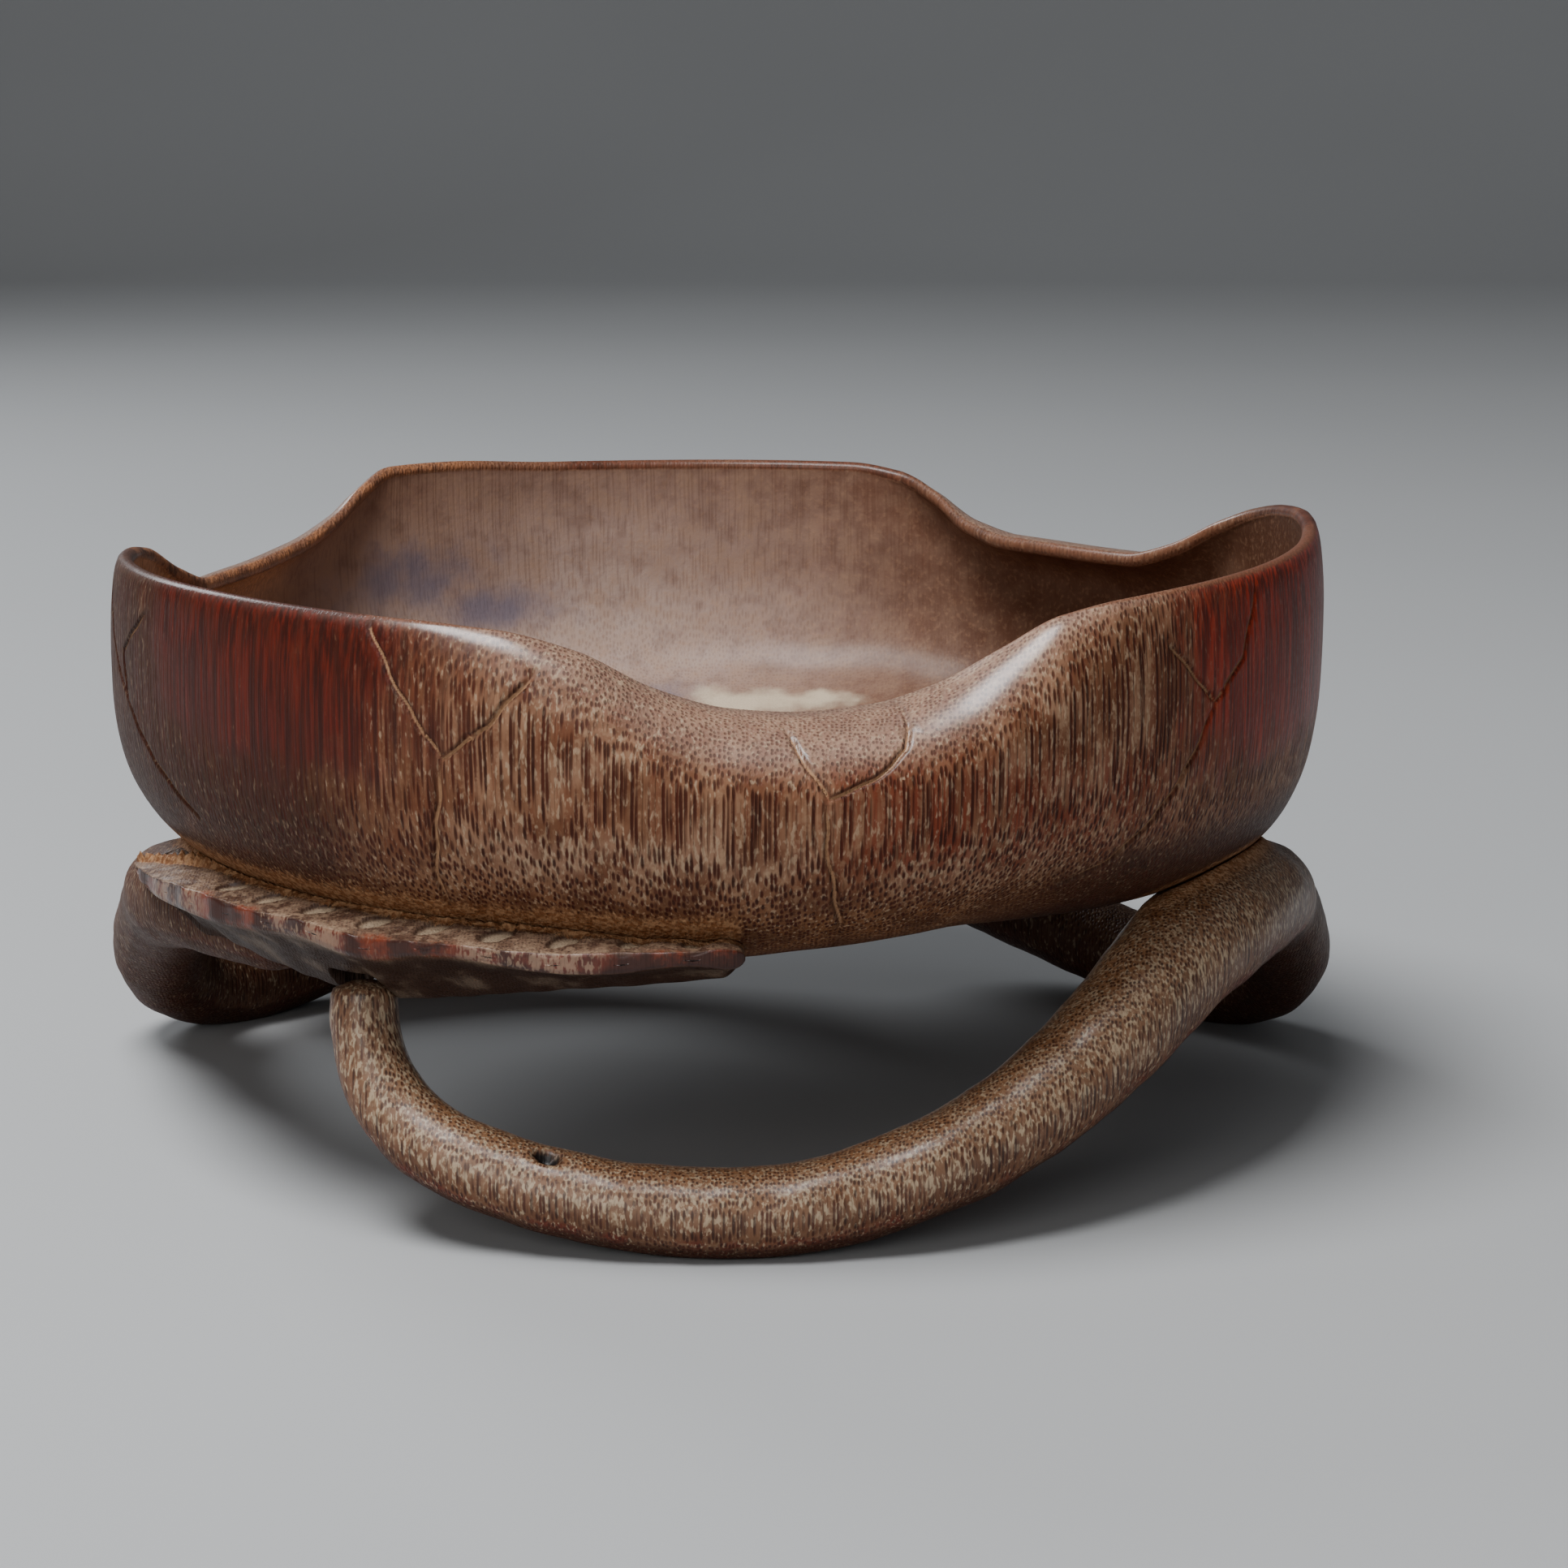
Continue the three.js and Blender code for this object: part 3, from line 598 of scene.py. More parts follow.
# %% The cup's skin
def carve_cup(bm):
    co = corners(bm)
    bearing, number = bearing_of(co), co[:, 2]
    r, z, out_r, out_z, inner, lip = place_on_cup(bearing, number)
    outside = ~inner & ~lip
    skin = around(bearing, r, z)
    apart, tool = vein_distance(skin)
    groove = np.where(outside, (1 - smoothstep(0.0, VEIN_HALF, apart)) * tool, 0)
    # Painted shade along both edges of each groove.
    edge_shade = np.where(outside, between(0.3, 0.62, 0.14, apart) * tool, 0)
    fair = 0.1 * (1 + waver(skin, 34, 3)) + 0.03 * (1 + waver(skin, 9, 4))  # the knife's and the hand's
    hollow = 0.16 * waver(skin, 22, 5) * smoothstep(LIP_TO, LIP_TO + 6, number)
    depth = np.where(inner, hollow, np.where(lip, 0, fair * smoothstep(LIP_FROM, LIP_FROM - 5, number)))
    depth = depth + VEIN_DEPTH * groove
    r, z = np.maximum(r - depth * out_r, 0), z - depth * out_z
    points = around(bearing, r, z)
    joined = np.full(len(points), 99.0)
    low = outside & (z < STEMS_BELOW)
    for rows in (LONG_STEM, SHORT_STEM):
        joined[low] = np.minimum(joined[low], stem_skin(points[low], rows)[0])
    from_leaf = np.abs(z - CUP_BOTTOM - LEAF_LINE)
    leaf_line = between(-70, 3, 1, bearing) * (1 - smoothstep(0, DUST_REACH, from_leaf))
    # Painted shade inside the right side and the right lobe.
    painted_shade_side = 0.8 * between(60, 156, 20, bearing)
    painted_shade_lobe = 0.6 * between(58, 106, 5, bearing) * smoothstep(70, 82, z)
    # Torn end grain inside the left fold, laid pale as painted light.
    torn_and_lit_inside = between(-122, -80, 5, bearing) * smoothstep(66, 74, z)
    traits = {
        "inside": np.where(inner, 1.0, 0.0),
        "lip": np.where(lip, 1.0, 0.0),
        "vein": groove,
        # painted shade along the grooves' edges
        "vein_edge": edge_shade,
        "seam": np.maximum(1 - smoothstep(0, DUST_REACH, joined), leaf_line) * outside,
        "rolled": np.where(outside | lip, np.clip(out_z, 0, 1), 0),
        "polish": np.where(outside | lip, zone(RED_SKIN, bearing, z), 0),
        "dust": np.where(outside | lip, zone(DUST, bearing, z), 0),
        # dark stain on the left, painted shade under the cup and down its right side
        "shade": np.where(outside | lip, cup_stain_and_shade(bearing, z), 0),
        "bright": outside * between(40, 120, 10, bearing),
        "warm": np.where(outside, between(10, 44, 7, bearing) * between(54, 69, 4, z), 0),
        "blue": inner * cup_patches(skin, BLUE_PATCHES),
        "pale": inner * cup_patches(skin, PALE_PATCHES),
        # painted sheen on the far left wall inside
        "bloom": inner * cup_patches(skin, PAINTED_SHEEN_PATCHES),
        # painted shade inside on the right
        "dim": inner * (painted_shade_side + painted_shade_lobe) * off_centre(skin),
        # torn end grain, with painted light on it and on the back-left lip
        "torn": inner * torn_and_lit_inside + lip * between(-150, -86, 5, bearing),
    }
    return points, traits


points, traits = carve_cup(drum)
cup_piece = skin_mesh("carved_cup", drum, points, traits)

# %% [markdown]
# ## The stems
#
# A stem is a round rod that swells and thins as it runs. It starts as a plain cylinder, divided along
# its length, and each ring moves to its place on the stem's line, square to the run. The carver's
# knife leaves shallow facets, so the skin is pressed in a little here and there, and where the stem
# meets the cup it spreads into a small collar that follows the cup's curve.

# %% Stems
STEM_SIDES = 72
RING_STEP = 1.0
COLLAR, FLARE = 3.4, 1.4  # the collar starts this far from the cup, and spreads by this much
SEAT_GAP = 0.06
BLUNT = 0.12  # a rounded end starts from this share of the radius, squared
LOOK_AHEAD = 0.004  # the share of a stem over which its direction is taken
PIT_BEARING, PIT_HALF, PIT_ROW, PIT_DEPTH = -15.6, 2.3, 5.45, 1.7


def rod(sides, rings):
    bm = bmesh.new()
    bmesh.ops.create_cone(
        bm, cap_ends=True, cap_tris=False, segments=sides, radius1=1, radius2=1, depth=1
    )
    along = [e for e in bm.edges if abs(e.verts[0].co.z - e.verts[1].co.z) > 0.5]
    bmesh.ops.subdivide_edges(bm, edges=along, cuts=rings - 1)
    return bm


# %% Carving a stem
def seat_on_cup(skin):
    """Presses a skin out to the cup's curve, and says how far each point was from it."""
    clear, outward, foot = cup_skin(skin)
    pressed = clear < SEAT_GAP
    skin[pressed] = (foot + outward * SEAT_GAP)[pressed]
    return clear


def carve_stem(name, rows, facet_seed, tips):
    """Bends a rod along a stem's line; tips says how long its two rounded ends are."""
    line = stem_line(rows)
    fine = np.linspace(0, 1, 4001)
    middles, _ = line(fine)
    run = run_of(np.linalg.norm(np.diff(middles, axis=0), axis=1))
    bm = rod(STEM_SIDES, round(run[-1] / RING_STEP))
    co = corners(bm)
    travelled = (co[:, 2] + 0.5) * run[-1]
    share = np.interp(travelled, run, fine)
    middle, radius = line(share)
    way = unit(line(share + LOOK_AHEAD)[0] - line(share - LOOK_AHEAD)[0])
    out = middle * (1, 1, 0)
    out = unit(out - way * np.sum(out * way, axis=1)[:, None])
    up = np.cross(way, out)
    to_end = np.minimum(travelled / tips[0], (run[-1] - travelled) / tips[1])
    rounding = np.sqrt(np.clip(1 - (1 - np.clip(to_end, 0, 1)) ** 2, BLUNT, 1))
    side = out * co[:, :1] + up * co[:, 1:2]
    skin = middle + side * (radius * rounding)[:, None]
    off_ground = smoothstep(0.2, 2.5, skin[:, 2])
    facets = 0.16 * (1 + waver(skin, 13, facet_seed)) + 0.06 * (1 + waver(skin, 5, facet_seed + 1))
    skin = middle + side * (radius * rounding - facets * off_ground)[:, None]
    pit = pit_depth(skin) if name == "carved_long_stem" else np.zeros(len(skin))
    skin -= side * pit[:, None]
    clear, outward, _ = cup_skin(skin)
    tangent = unit(side - outward * np.sum(side * outward, axis=1)[:, None])
    spread = np.clip(1 - (clear - SEAT_GAP) / COLLAR, 0, 1) ** 2 * (clear > -1.5)
    skin += tangent * (FLARE * spread)[:, None]
    clear = seat_on_cup(skin)
    skin[:, 2] = np.maximum(skin[:, 2], 0)
    faces_up = np.clip(side[:, 2], -1, 1)
    bearing = bearing_of(skin)
    front = between(-40, 74, 9, bearing)
    # Wear on the upward faces and the front, raised on the top as painted light.
    rubbed_and_lit = between(-0.1, 0.7, 0.3, faces_up) + 0.65 * smoothstep(0.4, 0.9, faces_up)
    traits = {
        "seam": 1 - smoothstep(0.1, 4.2, clear),
        "worn": rubbed_and_lit * (0.25 + 0.75 * front),
        # painted light: the stem's top laid paler and oranger
        "crown": smoothstep(0.2, 0.9, faces_up) * (0.4 + 0.6 * front),
        "under": smoothstep(-0.25, -0.85, faces_up),
        "pit": np.clip(pit * 2, 0, 1),
        # painted shade on the back legs
        "aged": smoothstep(72, 92, bearing) if name == "carved_long_stem" else 0.95 + 0 * bearing,
    }
    return skin_mesh(name, bm, skin, traits)


def pit_depth(skin):
    """A small open knot on top of the front run."""
    centre = stem_line(LONG_STEM)(np.array([PIT_ROW / (len(LONG_STEM) - 1)]))[0][0]
    across = (bearing_of(skin) - PIT_BEARING) * MM_PER_DEGREE * INNER_ARC
    outward = np.hypot(skin[:, 0], skin[:, 1]) - np.hypot(centre[0], centre[1]) - 3.2
    reach = np.hypot(across / PIT_HALF, outward / 1.5)
    return PIT_DEPTH * (1 - smoothstep(0.35, 1.0, reach)) * (skin[:, 2] > centre[2])


long_piece = carve_stem("carved_long_stem", LONG_STEM, 11, (1.6, 7.0))
short_piece = carve_stem("carved_short_stem", SHORT_STEM, 17, (8.0, 7.0))

# %% [markdown]
# ## The curled leaf
#
# The leaf is a thin ledge along the cup's lower front: a sloping top with a row of gouge cuts, a
# scalloped lip, and a hollowed underside that gathers to a keel. A rod is bent to the ledge's section,
# so its lip and keel stay crisp, and each gouge cut is a shallow scoop in its top.

# %% Leaf
LEAF_SIDES, LEAF_RINGS = 96, 331
LEAF_ARC = 0.95
TIP_ROUND, TIP_UP = 3.2, 7.9
SOCKET_ROOF = 1.6  # above the middle of the long stem's tip, which the leaf swallows
FACED = [(-64, -53), (-43.5, -33.5), (-21.5, -9)]  # bearings where the lip is worn pale
EMBER = [(-53, -44), (-31.5, -22.5), (-5, 4)]  # and where the lip is laid orange in patches
GOUGES = (-51.5, -45.3, -38.6, -31.8, -25.6, -19.2, -12.8, -6.4, -0.8)


def leaf_section(share, turn):
    """Points on the leaf's section: turn 0 behind the crest, 1 back there, through lip and keel."""
    bearing, crest_out, crest_up, lip_out, lip_top, lip_foot, keel_out, keel_up = through(LEAF)(share).T

    def mix(a, b, t):
        return a + (b - a) * t

    out = np.stack([
        crest_out - LEAF_ROOT, crest_out, mix(crest_out, lip_out, 0.55), lip_out, lip_out,
        mix(lip_out, keel_out, 0.5), keel_out, keel_out - LEAF_ROOT, crest_out - LEAF_ROOT,
    ])
    up = np.stack([
        crest_up, crest_up, mix(crest_up, lip_top, 0.5), lip_top, lip_foot,
        mix(lip_foot, keel_up, 0.5) + LEAF_HOLLOW, keel_up, keel_up + LEAF_ROOT / 2, crest_up,
    ])
    stops = np.array([0, 0.06, 0.26, 0.42, 0.56, 0.74, 0.9, 0.96, 1])
    column = np.arange(len(share))

    def on_line(t):
        t = np.mod(t, 1)
        i = np.clip(np.searchsorted(stops, t, side="right") - 1, 0, len(stops) - 2)
        f = (t - stops[i]) / (stops[i + 1] - stops[i])
        return mix(out[i, column], out[i + 1, column], f), mix(up[i, column], up[i + 1, column], f)

    total_out, total_up = 0, 0
    for shift, weight in ((-0.022, 1), (-0.011, 2), (0, 3), (0.011, 2), (0.022, 1)):
        o, u = on_line(turn + shift)
        total_out, total_up = total_out + weight * o / 9, total_up + weight * u / 9
    return bearing, total_out, total_up


# %% Carving the leaf
def carve_leaf():
    fine = np.linspace(0, 1, 2001)
    bearing_row = through(LEAF)(fine)[:, 0]
    bm = rod(LEAF_SIDES, LEAF_RINGS)
    co = corners(bm)
    turn = np.mod(np.arctan2(co[:, 1], co[:, 0]) / (2 * math.pi), 1)
    wanted = (co[:, 2] + 0.5) * (bearing_row[-1] - bearing_row[0]) + bearing_row[0]
    share = np.interp(wanted, bearing_row, fine)
    bearing, out, up = leaf_section(share, turn)
    to_tip = np.clip((bearing_row[-1] - bearing) * MM_PER_DEGREE / TIP_ROUND, 0, 1)
    rounding = np.sqrt(np.clip(1 - (1 - to_tip) ** 2, 0.04, 1))
    up, out = TIP_UP + (up - TIP_UP) * rounding, out - 1.4 * (1 - rounding)
    top = between(0.1, 0.4, 0.03, turn)
    lip = between(0.41, 0.57, 0.015, turn)
    under = between(0.6, 0.92, 0.03, turn)
    edge_zone = between(0.36, 0.6, 0.03, turn)
    gouge = np.zeros(len(co))
    for middle in GOUGES:
        x = (bearing - middle) * MM_PER_DEGREE * LEAF_ARC
        y = (turn - 0.235) / 0.36 * 10.5
        reach = np.hypot((x + 0.35 * y) / 2.2, y / 2.7)
        gouge = np.maximum(gouge, np.sqrt(np.clip(1 - reach**2, 0, 1)) * top)
    angle = np.radians(bearing)
    scallops = 0.35 * np.sin(angle * 62) * lip + 0.22 * np.sin(angle * 121 + 1) * lip
    out, up = out + 0.25 * scallops - 0.2 * lip, up + 0.7 * scallops * (turn < 0.5)
    skin = around(bearing, CUP_RADIUS + out, CUP_BOTTOM + up)
    rough = waver(skin, 3.2, 21)
    frayed = between(0.05, 0.13, 0.025, turn) * (0.7 + 0.9 * waver(skin, 1.3, 31))
    skin[:, 2] += frayed - 0.9 * gouge - 0.12 * (1 + rough) * top
    dents = 0.28 * (1 + waver(skin, 8, 23)) * np.maximum(lip * 0.6, under)
    centre = around(bearing, CUP_RADIUS - 9.0, CUP_BOTTOM + 4.5 + 0 * bearing)
    skin += unit(centre - skin) * dents[:, None]
    tip = stem_line(LONG_STEM)(np.array([0.0]))[0][0]
    caught = stem_skin(skin, LONG_STEM)[0] < 0
    skin[caught, 2] = np.maximum(skin[caught, 2], tip[2] + SOCKET_ROOF)
    clear, away = stem_skin(skin, SHORT_STEM)
    caught = clear < SEAT_GAP
    skin[caught] += (away * (SEAT_GAP - clear)[:, None])[caught]
    clear = seat_on_cup(skin)
    traits = {
        "top": top,
        "lip": lip,
        "under": under,
        "gouge": gouge,
        "faced": edge_zone * strongest(*[between(a, b, 1.2, bearing) for a, b in FACED]),
        "ember": edge_zone * strongest(*[between(a, b, 1.2, bearing) for a, b in EMBER]),
        "seam": np.maximum(1 - smoothstep(0.2, 2.0, clear), between(0.03, 0.15, 0.02, turn)),
    }
    return skin_mesh("carved_leaf", bm, skin, traits)


leaf_piece = carve_leaf()

# %% [markdown]
# ## Sums on sockets
#
# A finish is arithmetic on masks, and arithmetic reads best as Python. This small class wraps a
# socket: adding or multiplying two of them adds the Math node that does it.


# %% Sockets that can be summed
class Grain:
    """A number that varies over the surface."""

    def __init__(self, finish, socket):
        self.finish, self.socket = finish, socket

    def sum(self, operation, *others, clamp=False):
        inputs = dict(enumerate([self, *others]))
        return self.finish.add("ShaderNodeMath", {"operation": operation, "use_clamp": clamp}, inputs)

    def __add__(self, other):
        return self.sum("ADD", other)

    def __mul__(self, other):
        return self.sum("MULTIPLY", other)

    def __sub__(self, other):
        return self.sum("SUBTRACT", other)

    def __rsub__(self, other):
        return (self * -1) + other

    __radd__, __rmul__ = __add__, __mul__

    def held(self):
        """The same, kept between 0 and 1."""
        return self.sum("ADD", 0.0, clamp=True)

    def rises(self, low, high):
        """0 below low, 1 above high, smooth between."""
        settings = {"interpolation_type": "SMOOTHSTEP"}
        limits = {"Value": self, "From Min": low, "From Max": high}
        return self.finish.add("ShaderNodeMapRange", settings, limits)


# %% [markdown]
# ## A finish and its coats
#
# Wood is coloured as it ages, coat over coat: the bare wood, then stain, then wear, then dust. A
# finish here is built the same way. Each coat is a mask and a colour, laid over the coats before it.
# Colours are given as red, green and blue up to 255, and made linear for the shader.


# %% Colours
def stain(colour):
    """A colour given up to 255 as the shader's linear one; anything else stays as it is."""
    if not isinstance(colour, tuple) or len(colour) == 4:
        return colour
    share = np.array(colour) / 255
    linear = np.where(share < 0.0404, share / 12.92, ((share + 0.055) / 1.055) ** 2.4)
    return (*linear.tolist(), 1)


# %% Finishes
class Finish:
    """A finish for one kind of surface."""

    def __init__(self, name, **uniform):
        self.material = bpy.data.materials.new(name)
        self.material.use_nodes = True
        self.tree = self.material.node_tree
        self.shader = self.tree.nodes["Principled BSDF"]
        for socket, value in uniform.items():
            self.shader.inputs[socket.replace("_", " ")].default_value = value

    def add(self, kind, settings=None, inputs=None, output=0):
        """Adds a node: its settings first, then the values or links of its sockets."""
        node = self.tree.nodes.new(kind)
        for key, value in (settings or {}).items():
            setattr(node, key, value)
        for key, value in (inputs or {}).items():
            self.feed(node.inputs[key], value)
        return Grain(self, node.outputs[output])

    def feed(self, socket, value):
        if isinstance(value, Grain):
            self.tree.links.new(value.socket, socket)
        else:
            socket.default_value = value

    def blend(self, factor, under, over):
        """One colour laid over another, where the factor says."""
        inputs = {0: factor, 6: stain(under), 7: stain(over)}
        return self.add("ShaderNodeMix", {"data_type": "RGBA"}, inputs, output=2)

    def coats(self, under, *layers):
        """Colours laid over one another in turn, each with its factor."""
        for factor, colour in layers:
            under = self.blend(factor, under, colour)
        return under

    def traits(self, names):
        """What the carving kept on each vertex, by name."""
        return [self.add("ShaderNodeAttribute", {"attribute_name": n}, output="Fac") for n in names.split()]

    def vector(self, operation, a, b):
        return self.add("ShaderNodeVectorMath", {"operation": operation}, {0: a, 1: b})

    def place(self, x=1.0, y=1.0, z=1.0, shift=None):
        """The point's own place, in mm, stretched."""
        spot = self.add("ShaderNodeTexCoord", output="Object")
        scaled = self.vector("MULTIPLY", spot, (x / MM, y / MM, z / MM))
        return scaled if shift is None else self.vector("ADD", scaled, shift)

    def noise(self, where, detail, output=0):
        return self.add("ShaderNodeTexNoise", {}, {"Vector": where, "Scale": 1.0, "Detail": detail}, output)

    def cloud(self, size, detail=3.0, offset=0.0, along=1.0):
        """Soft blotches about `size` mm across, stretched upright where along is small."""
        shift = (offset, offset * 0.7, -offset)
        return self.noise(self.place(1 / size, 1 / size, along / size, shift), detail)

    def bump(self, height, strength, distance):
        inputs = {"Strength": strength, "Distance": distance * MM, "Height": height}
        return self.add("ShaderNodeBump", {}, inputs)

    def wear(self, **varying):
        """Feeds the shader what changes over the surface."""
        for socket, value in varying.items():
            self.feed(self.shader.inputs[socket.replace("_", " ")], value)


# %% [markdown]
# ## Bamboo's fibres
#
# Bamboo root is a bundle of hard dark fibres standing upright in paler pith, about a millimetre
# apart. They run through the whole block, so where the knife cuts along them they show as streaks,
# and where it cuts across, as dots. That is exactly what a pattern of long cells does when it fills
# space: the same cells give the streaked wall, the dotted shoulder and the dashed lower curve.

# %% Fibres
UNEVEN = 0.62  # how unevenly the fibres stand
SWAY = (3, 3, 0)  # how far they wander, in fibres


def fibres(f, apart=0.6, length=10.0):
    """How dark each fibre is, how pale the pith beside it, its core, its tone, and its wide stain."""
    sway = f.vector("MULTIPLY", f.noise(f.place(0.05, 0.05, 0.03), 2.0, "Color"), SWAY)
    where = f.vector("ADD", f.place(1 / apart, 1 / apart, 0), sway)
    cells = {"Vector": where, "Scale": 1.0, "Randomness": UNEVEN}
    flat = {"voronoi_dimensions": "2D"}
    reach = f.add("ShaderNodeTexVoronoi", flat, cells, "Distance")
    chance = f.add("ShaderNodeTexVoronoi", flat, cells, "Color")
    luck, tone = (f.add("ShaderNodeSeparateColor", {}, {"Color": chance}, i) for i in (0, 1))
    own_start = f.vector("MULTIPLY", chance, (0, 0, 9))
    breaks = f.noise(f.vector("ADD", f.place(0.35, 0.35, 1 / length), own_start), 2.0)
    core = 1 - reach.rises(0.16, 0.46)
    dark = core * (luck * 0.55 + breaks).rises(0.52, 0.82)
    beside = (1 - core) * (tone * 0.6 + breaks).rises(0.74, 0.95)
    wide = (1 - reach.rises(0.24, 0.56)) * (luck * 0.5 + breaks).rises(0.5, 0.8)
    return dark, beside, core, tone, wide


def gritty(seam, mid, flake):
    """Where dust is caught along a joint, in an uneven line."""
    return (seam * 1.1 + (mid - 0.5) * 0.8 + (flake - 0.5) * 1.4).rises(0.25, 0.85)


# %% [markdown]
# ## The cup's finish
#
# Outside, the cup is tan pith with dark red fibres, deep red where the outer skin is left on the
# lobes, dark-stained on the left, and greyer where hands and dust have worn it. Painted shade darkens
# it low down, down its right side and along the grooves' edges; painted sheen pales its rolled
# shoulders, and the torn lip at the back left is laid pale as painted light. Inside it is smooth and
# satin, brown with pale and bluish stains, painted sheen on the far left wall, painted shade on the
# right, and torn end grain laid pale as painted light. The grooves and the seams hold pale dust.

# %% The cup's masks
cup = Finish("cup_bamboo", Coat_Roughness=0.29, Specular_IOR_Level=0.1)
dark, beside, core, tone, wide = fibres(cup)
inside, lip, vein, vein_edge, seam, torn = cup.traits("inside lip vein vein_edge seam torn")
rolled, polish, bright, dust, shade, warm = cup.traits("rolled polish bright dust shade warm")
height = cup.add("ShaderNodeSeparateXYZ", {}, {0: cup.place()}, output=2)
broad, mid, fine = cup.cloud(24, 2), cup.cloud(6, 4, 11), cup.cloud(0.8, 2, 31)
flake, mottle = cup.cloud(0.5, 2, 57, along=0.34), cup.cloud(3.4, 6, 71)
streak, hair = cup.cloud(1.6, 3, 5, along=0.06), cup.cloud(0.7, 3, 77, along=0.03)
# Dark stain on the left wall; painted shade under the cup and down its right side; a darker back.
stained_and_shaded = (shade + (mid - 0.5) * 1.1 + (hair - 0.5) * 0.6).rises(0.2, 1.0)
ragged = (mid - 0.5) * 1.5 + (streak - 0.5) * 0.7 + (hair - 0.5) * 1.3
skin_left = (polish * 1.5 + ragged).rises(0.35, 1.35)
grit = gritty(seam, mid, flake)
print("the cup's masks:", len(cup.tree.nodes), "nodes")

# %% The cup's bare wood, red skin, dark stain and painted shade
# Pith in painted shade, for the lower curve where the wall turns under.
low_pith_in_shade = cup.blend(mid.rises(0.4, 0.6), (82, 52, 32), (104, 66, 38))
# Dark stain and painted shade on the pith.
stained_and_shaded_pith = cup.blend(hair.rises(0.4, 0.6), (44, 24, 15), (60, 34, 23))
bright_red = cup.blend(hair.rises(0.36, 0.62), (154, 46, 24), (96, 32, 19))
red = cup.coats(
    cup.blend(hair.rises(0.36, 0.62), (90, 28, 16), (52, 20, 13)),
    (streak.rises(0.5, 0.62) * 0.5, (70, 30, 19)),
    (bright * 0.85, bright_red),
)
pith = cup.coats(
    cup.blend(mid.rises(0.38, 0.64), (104, 67, 46), (138, 100, 75)),
    (streak.rises(0.45, 0.62) * 0.5, (104, 56, 36)),
    (warm * (0.35 + hair).rises(0.68, 0.96) * 0.75, (112, 44, 27)),
    # painted shade: darker where the wall turns under
    ((1 - height.rises(46, 58)) * 0.8, low_pith_in_shade),
    # dark stain on the left, painted shade under the cup and down its right side
    (stained_and_shaded * 0.94, stained_and_shaded_pith),
    (skin_left, red),
)

# %% The cup's outside: fibres, wear, dust, and painted sheen, shade and light
wear = (dust * 0.75 + (mid - 0.5) * 1.5) * (1 - skin_left * 0.9) * (1 - stained_and_shaded * 0.85)
upright = 1 - rolled.rises(0.12, 0.5)
speck = (flake + wear * 0.1).rises(0.57, 0.71)
flecks = beside * fine.rises(0.42, 0.62) * (0.25 + dust * 0.5) * (1 - skin_left * 0.92) * (1 - stained_and_shaded * 0.7)
# The torn back-left lip: end grain laid pale as a painted highlight.
torn_and_lit_lip = lip * torn * (mid + (flake - 0.5) * 0.6).rises(0.4, 0.6)
outside = cup.coats(
    pith,
    (wide * upright * (0.72 - skin_left * 0.45 - stained_and_shaded * 0.2), (66, 28, 18)),
    (wear.rises(0.25, 0.95) * (1 - wide * 0.7) * 0.34, (152, 124, 104)),
    # painted sheen: the upward-facing rolled shoulders laid pale
    (rolled.rises(0.3, 0.9) * (1 - lip) * (0.15 + flake * 0.6) * 0.6, (176, 150, 134)),
    (speck * (0.62 - skin_left * 0.5 - stained_and_shaded * 0.34), (170, 146, 120)),
    (flecks * 0.7, (162, 134, 106)),
    (dark * (0.88 - rolled * 0.3 - skin_left * 0.5), cup.blend(tone, (48, 21, 14), (72, 29, 18))),
    (grit * 0.8, cup.blend(fine.rises(0.4, 0.6), (128, 82, 50), (166, 124, 88))),
    # painted shade along the grooves' edges
    (vein_edge * (0.5 - skin_left * 0.25), (40, 20, 14)),
    (vein.rises(0.4, 0.75) * (0.4 + fine * 0.9).held(), (162, 124, 92)),
    (lip * 0.6, cup.blend(stained_and_shaded, (114, 76, 56), (60, 34, 24))),
    # torn lip at the back left: end grain with a painted highlight
    (torn_and_lit_lip * 0.85, (146, 96, 64)),
)

# %% The cup's inside: stains, painted sheen and painted shade
blue, pale, bloom, dim = cup.traits("blue pale bloom dim")
within = cup.coats(
    cup.blend(broad.rises(0.3, 0.7), (104, 72, 56), (126, 94, 76)),
    (mid.rises(0.4, 0.7) * 0.6, (108, 66, 45)),
    # painted sheen: a pale greyish bloom on the far left wall
    ((bloom * (0.4 + mid)).held() * 0.85, (170, 150, 140)),
    (mottle.rises(0.4, 0.7) * 0.35, (150, 120, 98)),
    ((1 - mottle.rises(0.28, 0.52)) * 0.3, (90, 58, 42)),
    # painted shade on the right of the inside
    ((dim * (0.7 + mid * 0.5)).held() * 0.92, (62, 37, 24)),
    (fine.rises(0.48, 0.75) * 0.2, (160, 124, 96)),
    (dark * 0.2, (76, 44, 30)),
    ((blue + (mid - 0.5) * 1.3).rises(0.3, 1.2) * 0.8, (96, 90, 104)),
    ((pale + (mid - 0.5) * 1.6).rises(0.35, 1.1) * 0.75, (202, 186, 160)),
    # torn end grain, laid paler as painted light
    (torn * (0.45 + flake.rises(0.4, 0.6) * 0.55), (188, 146, 112)),
)

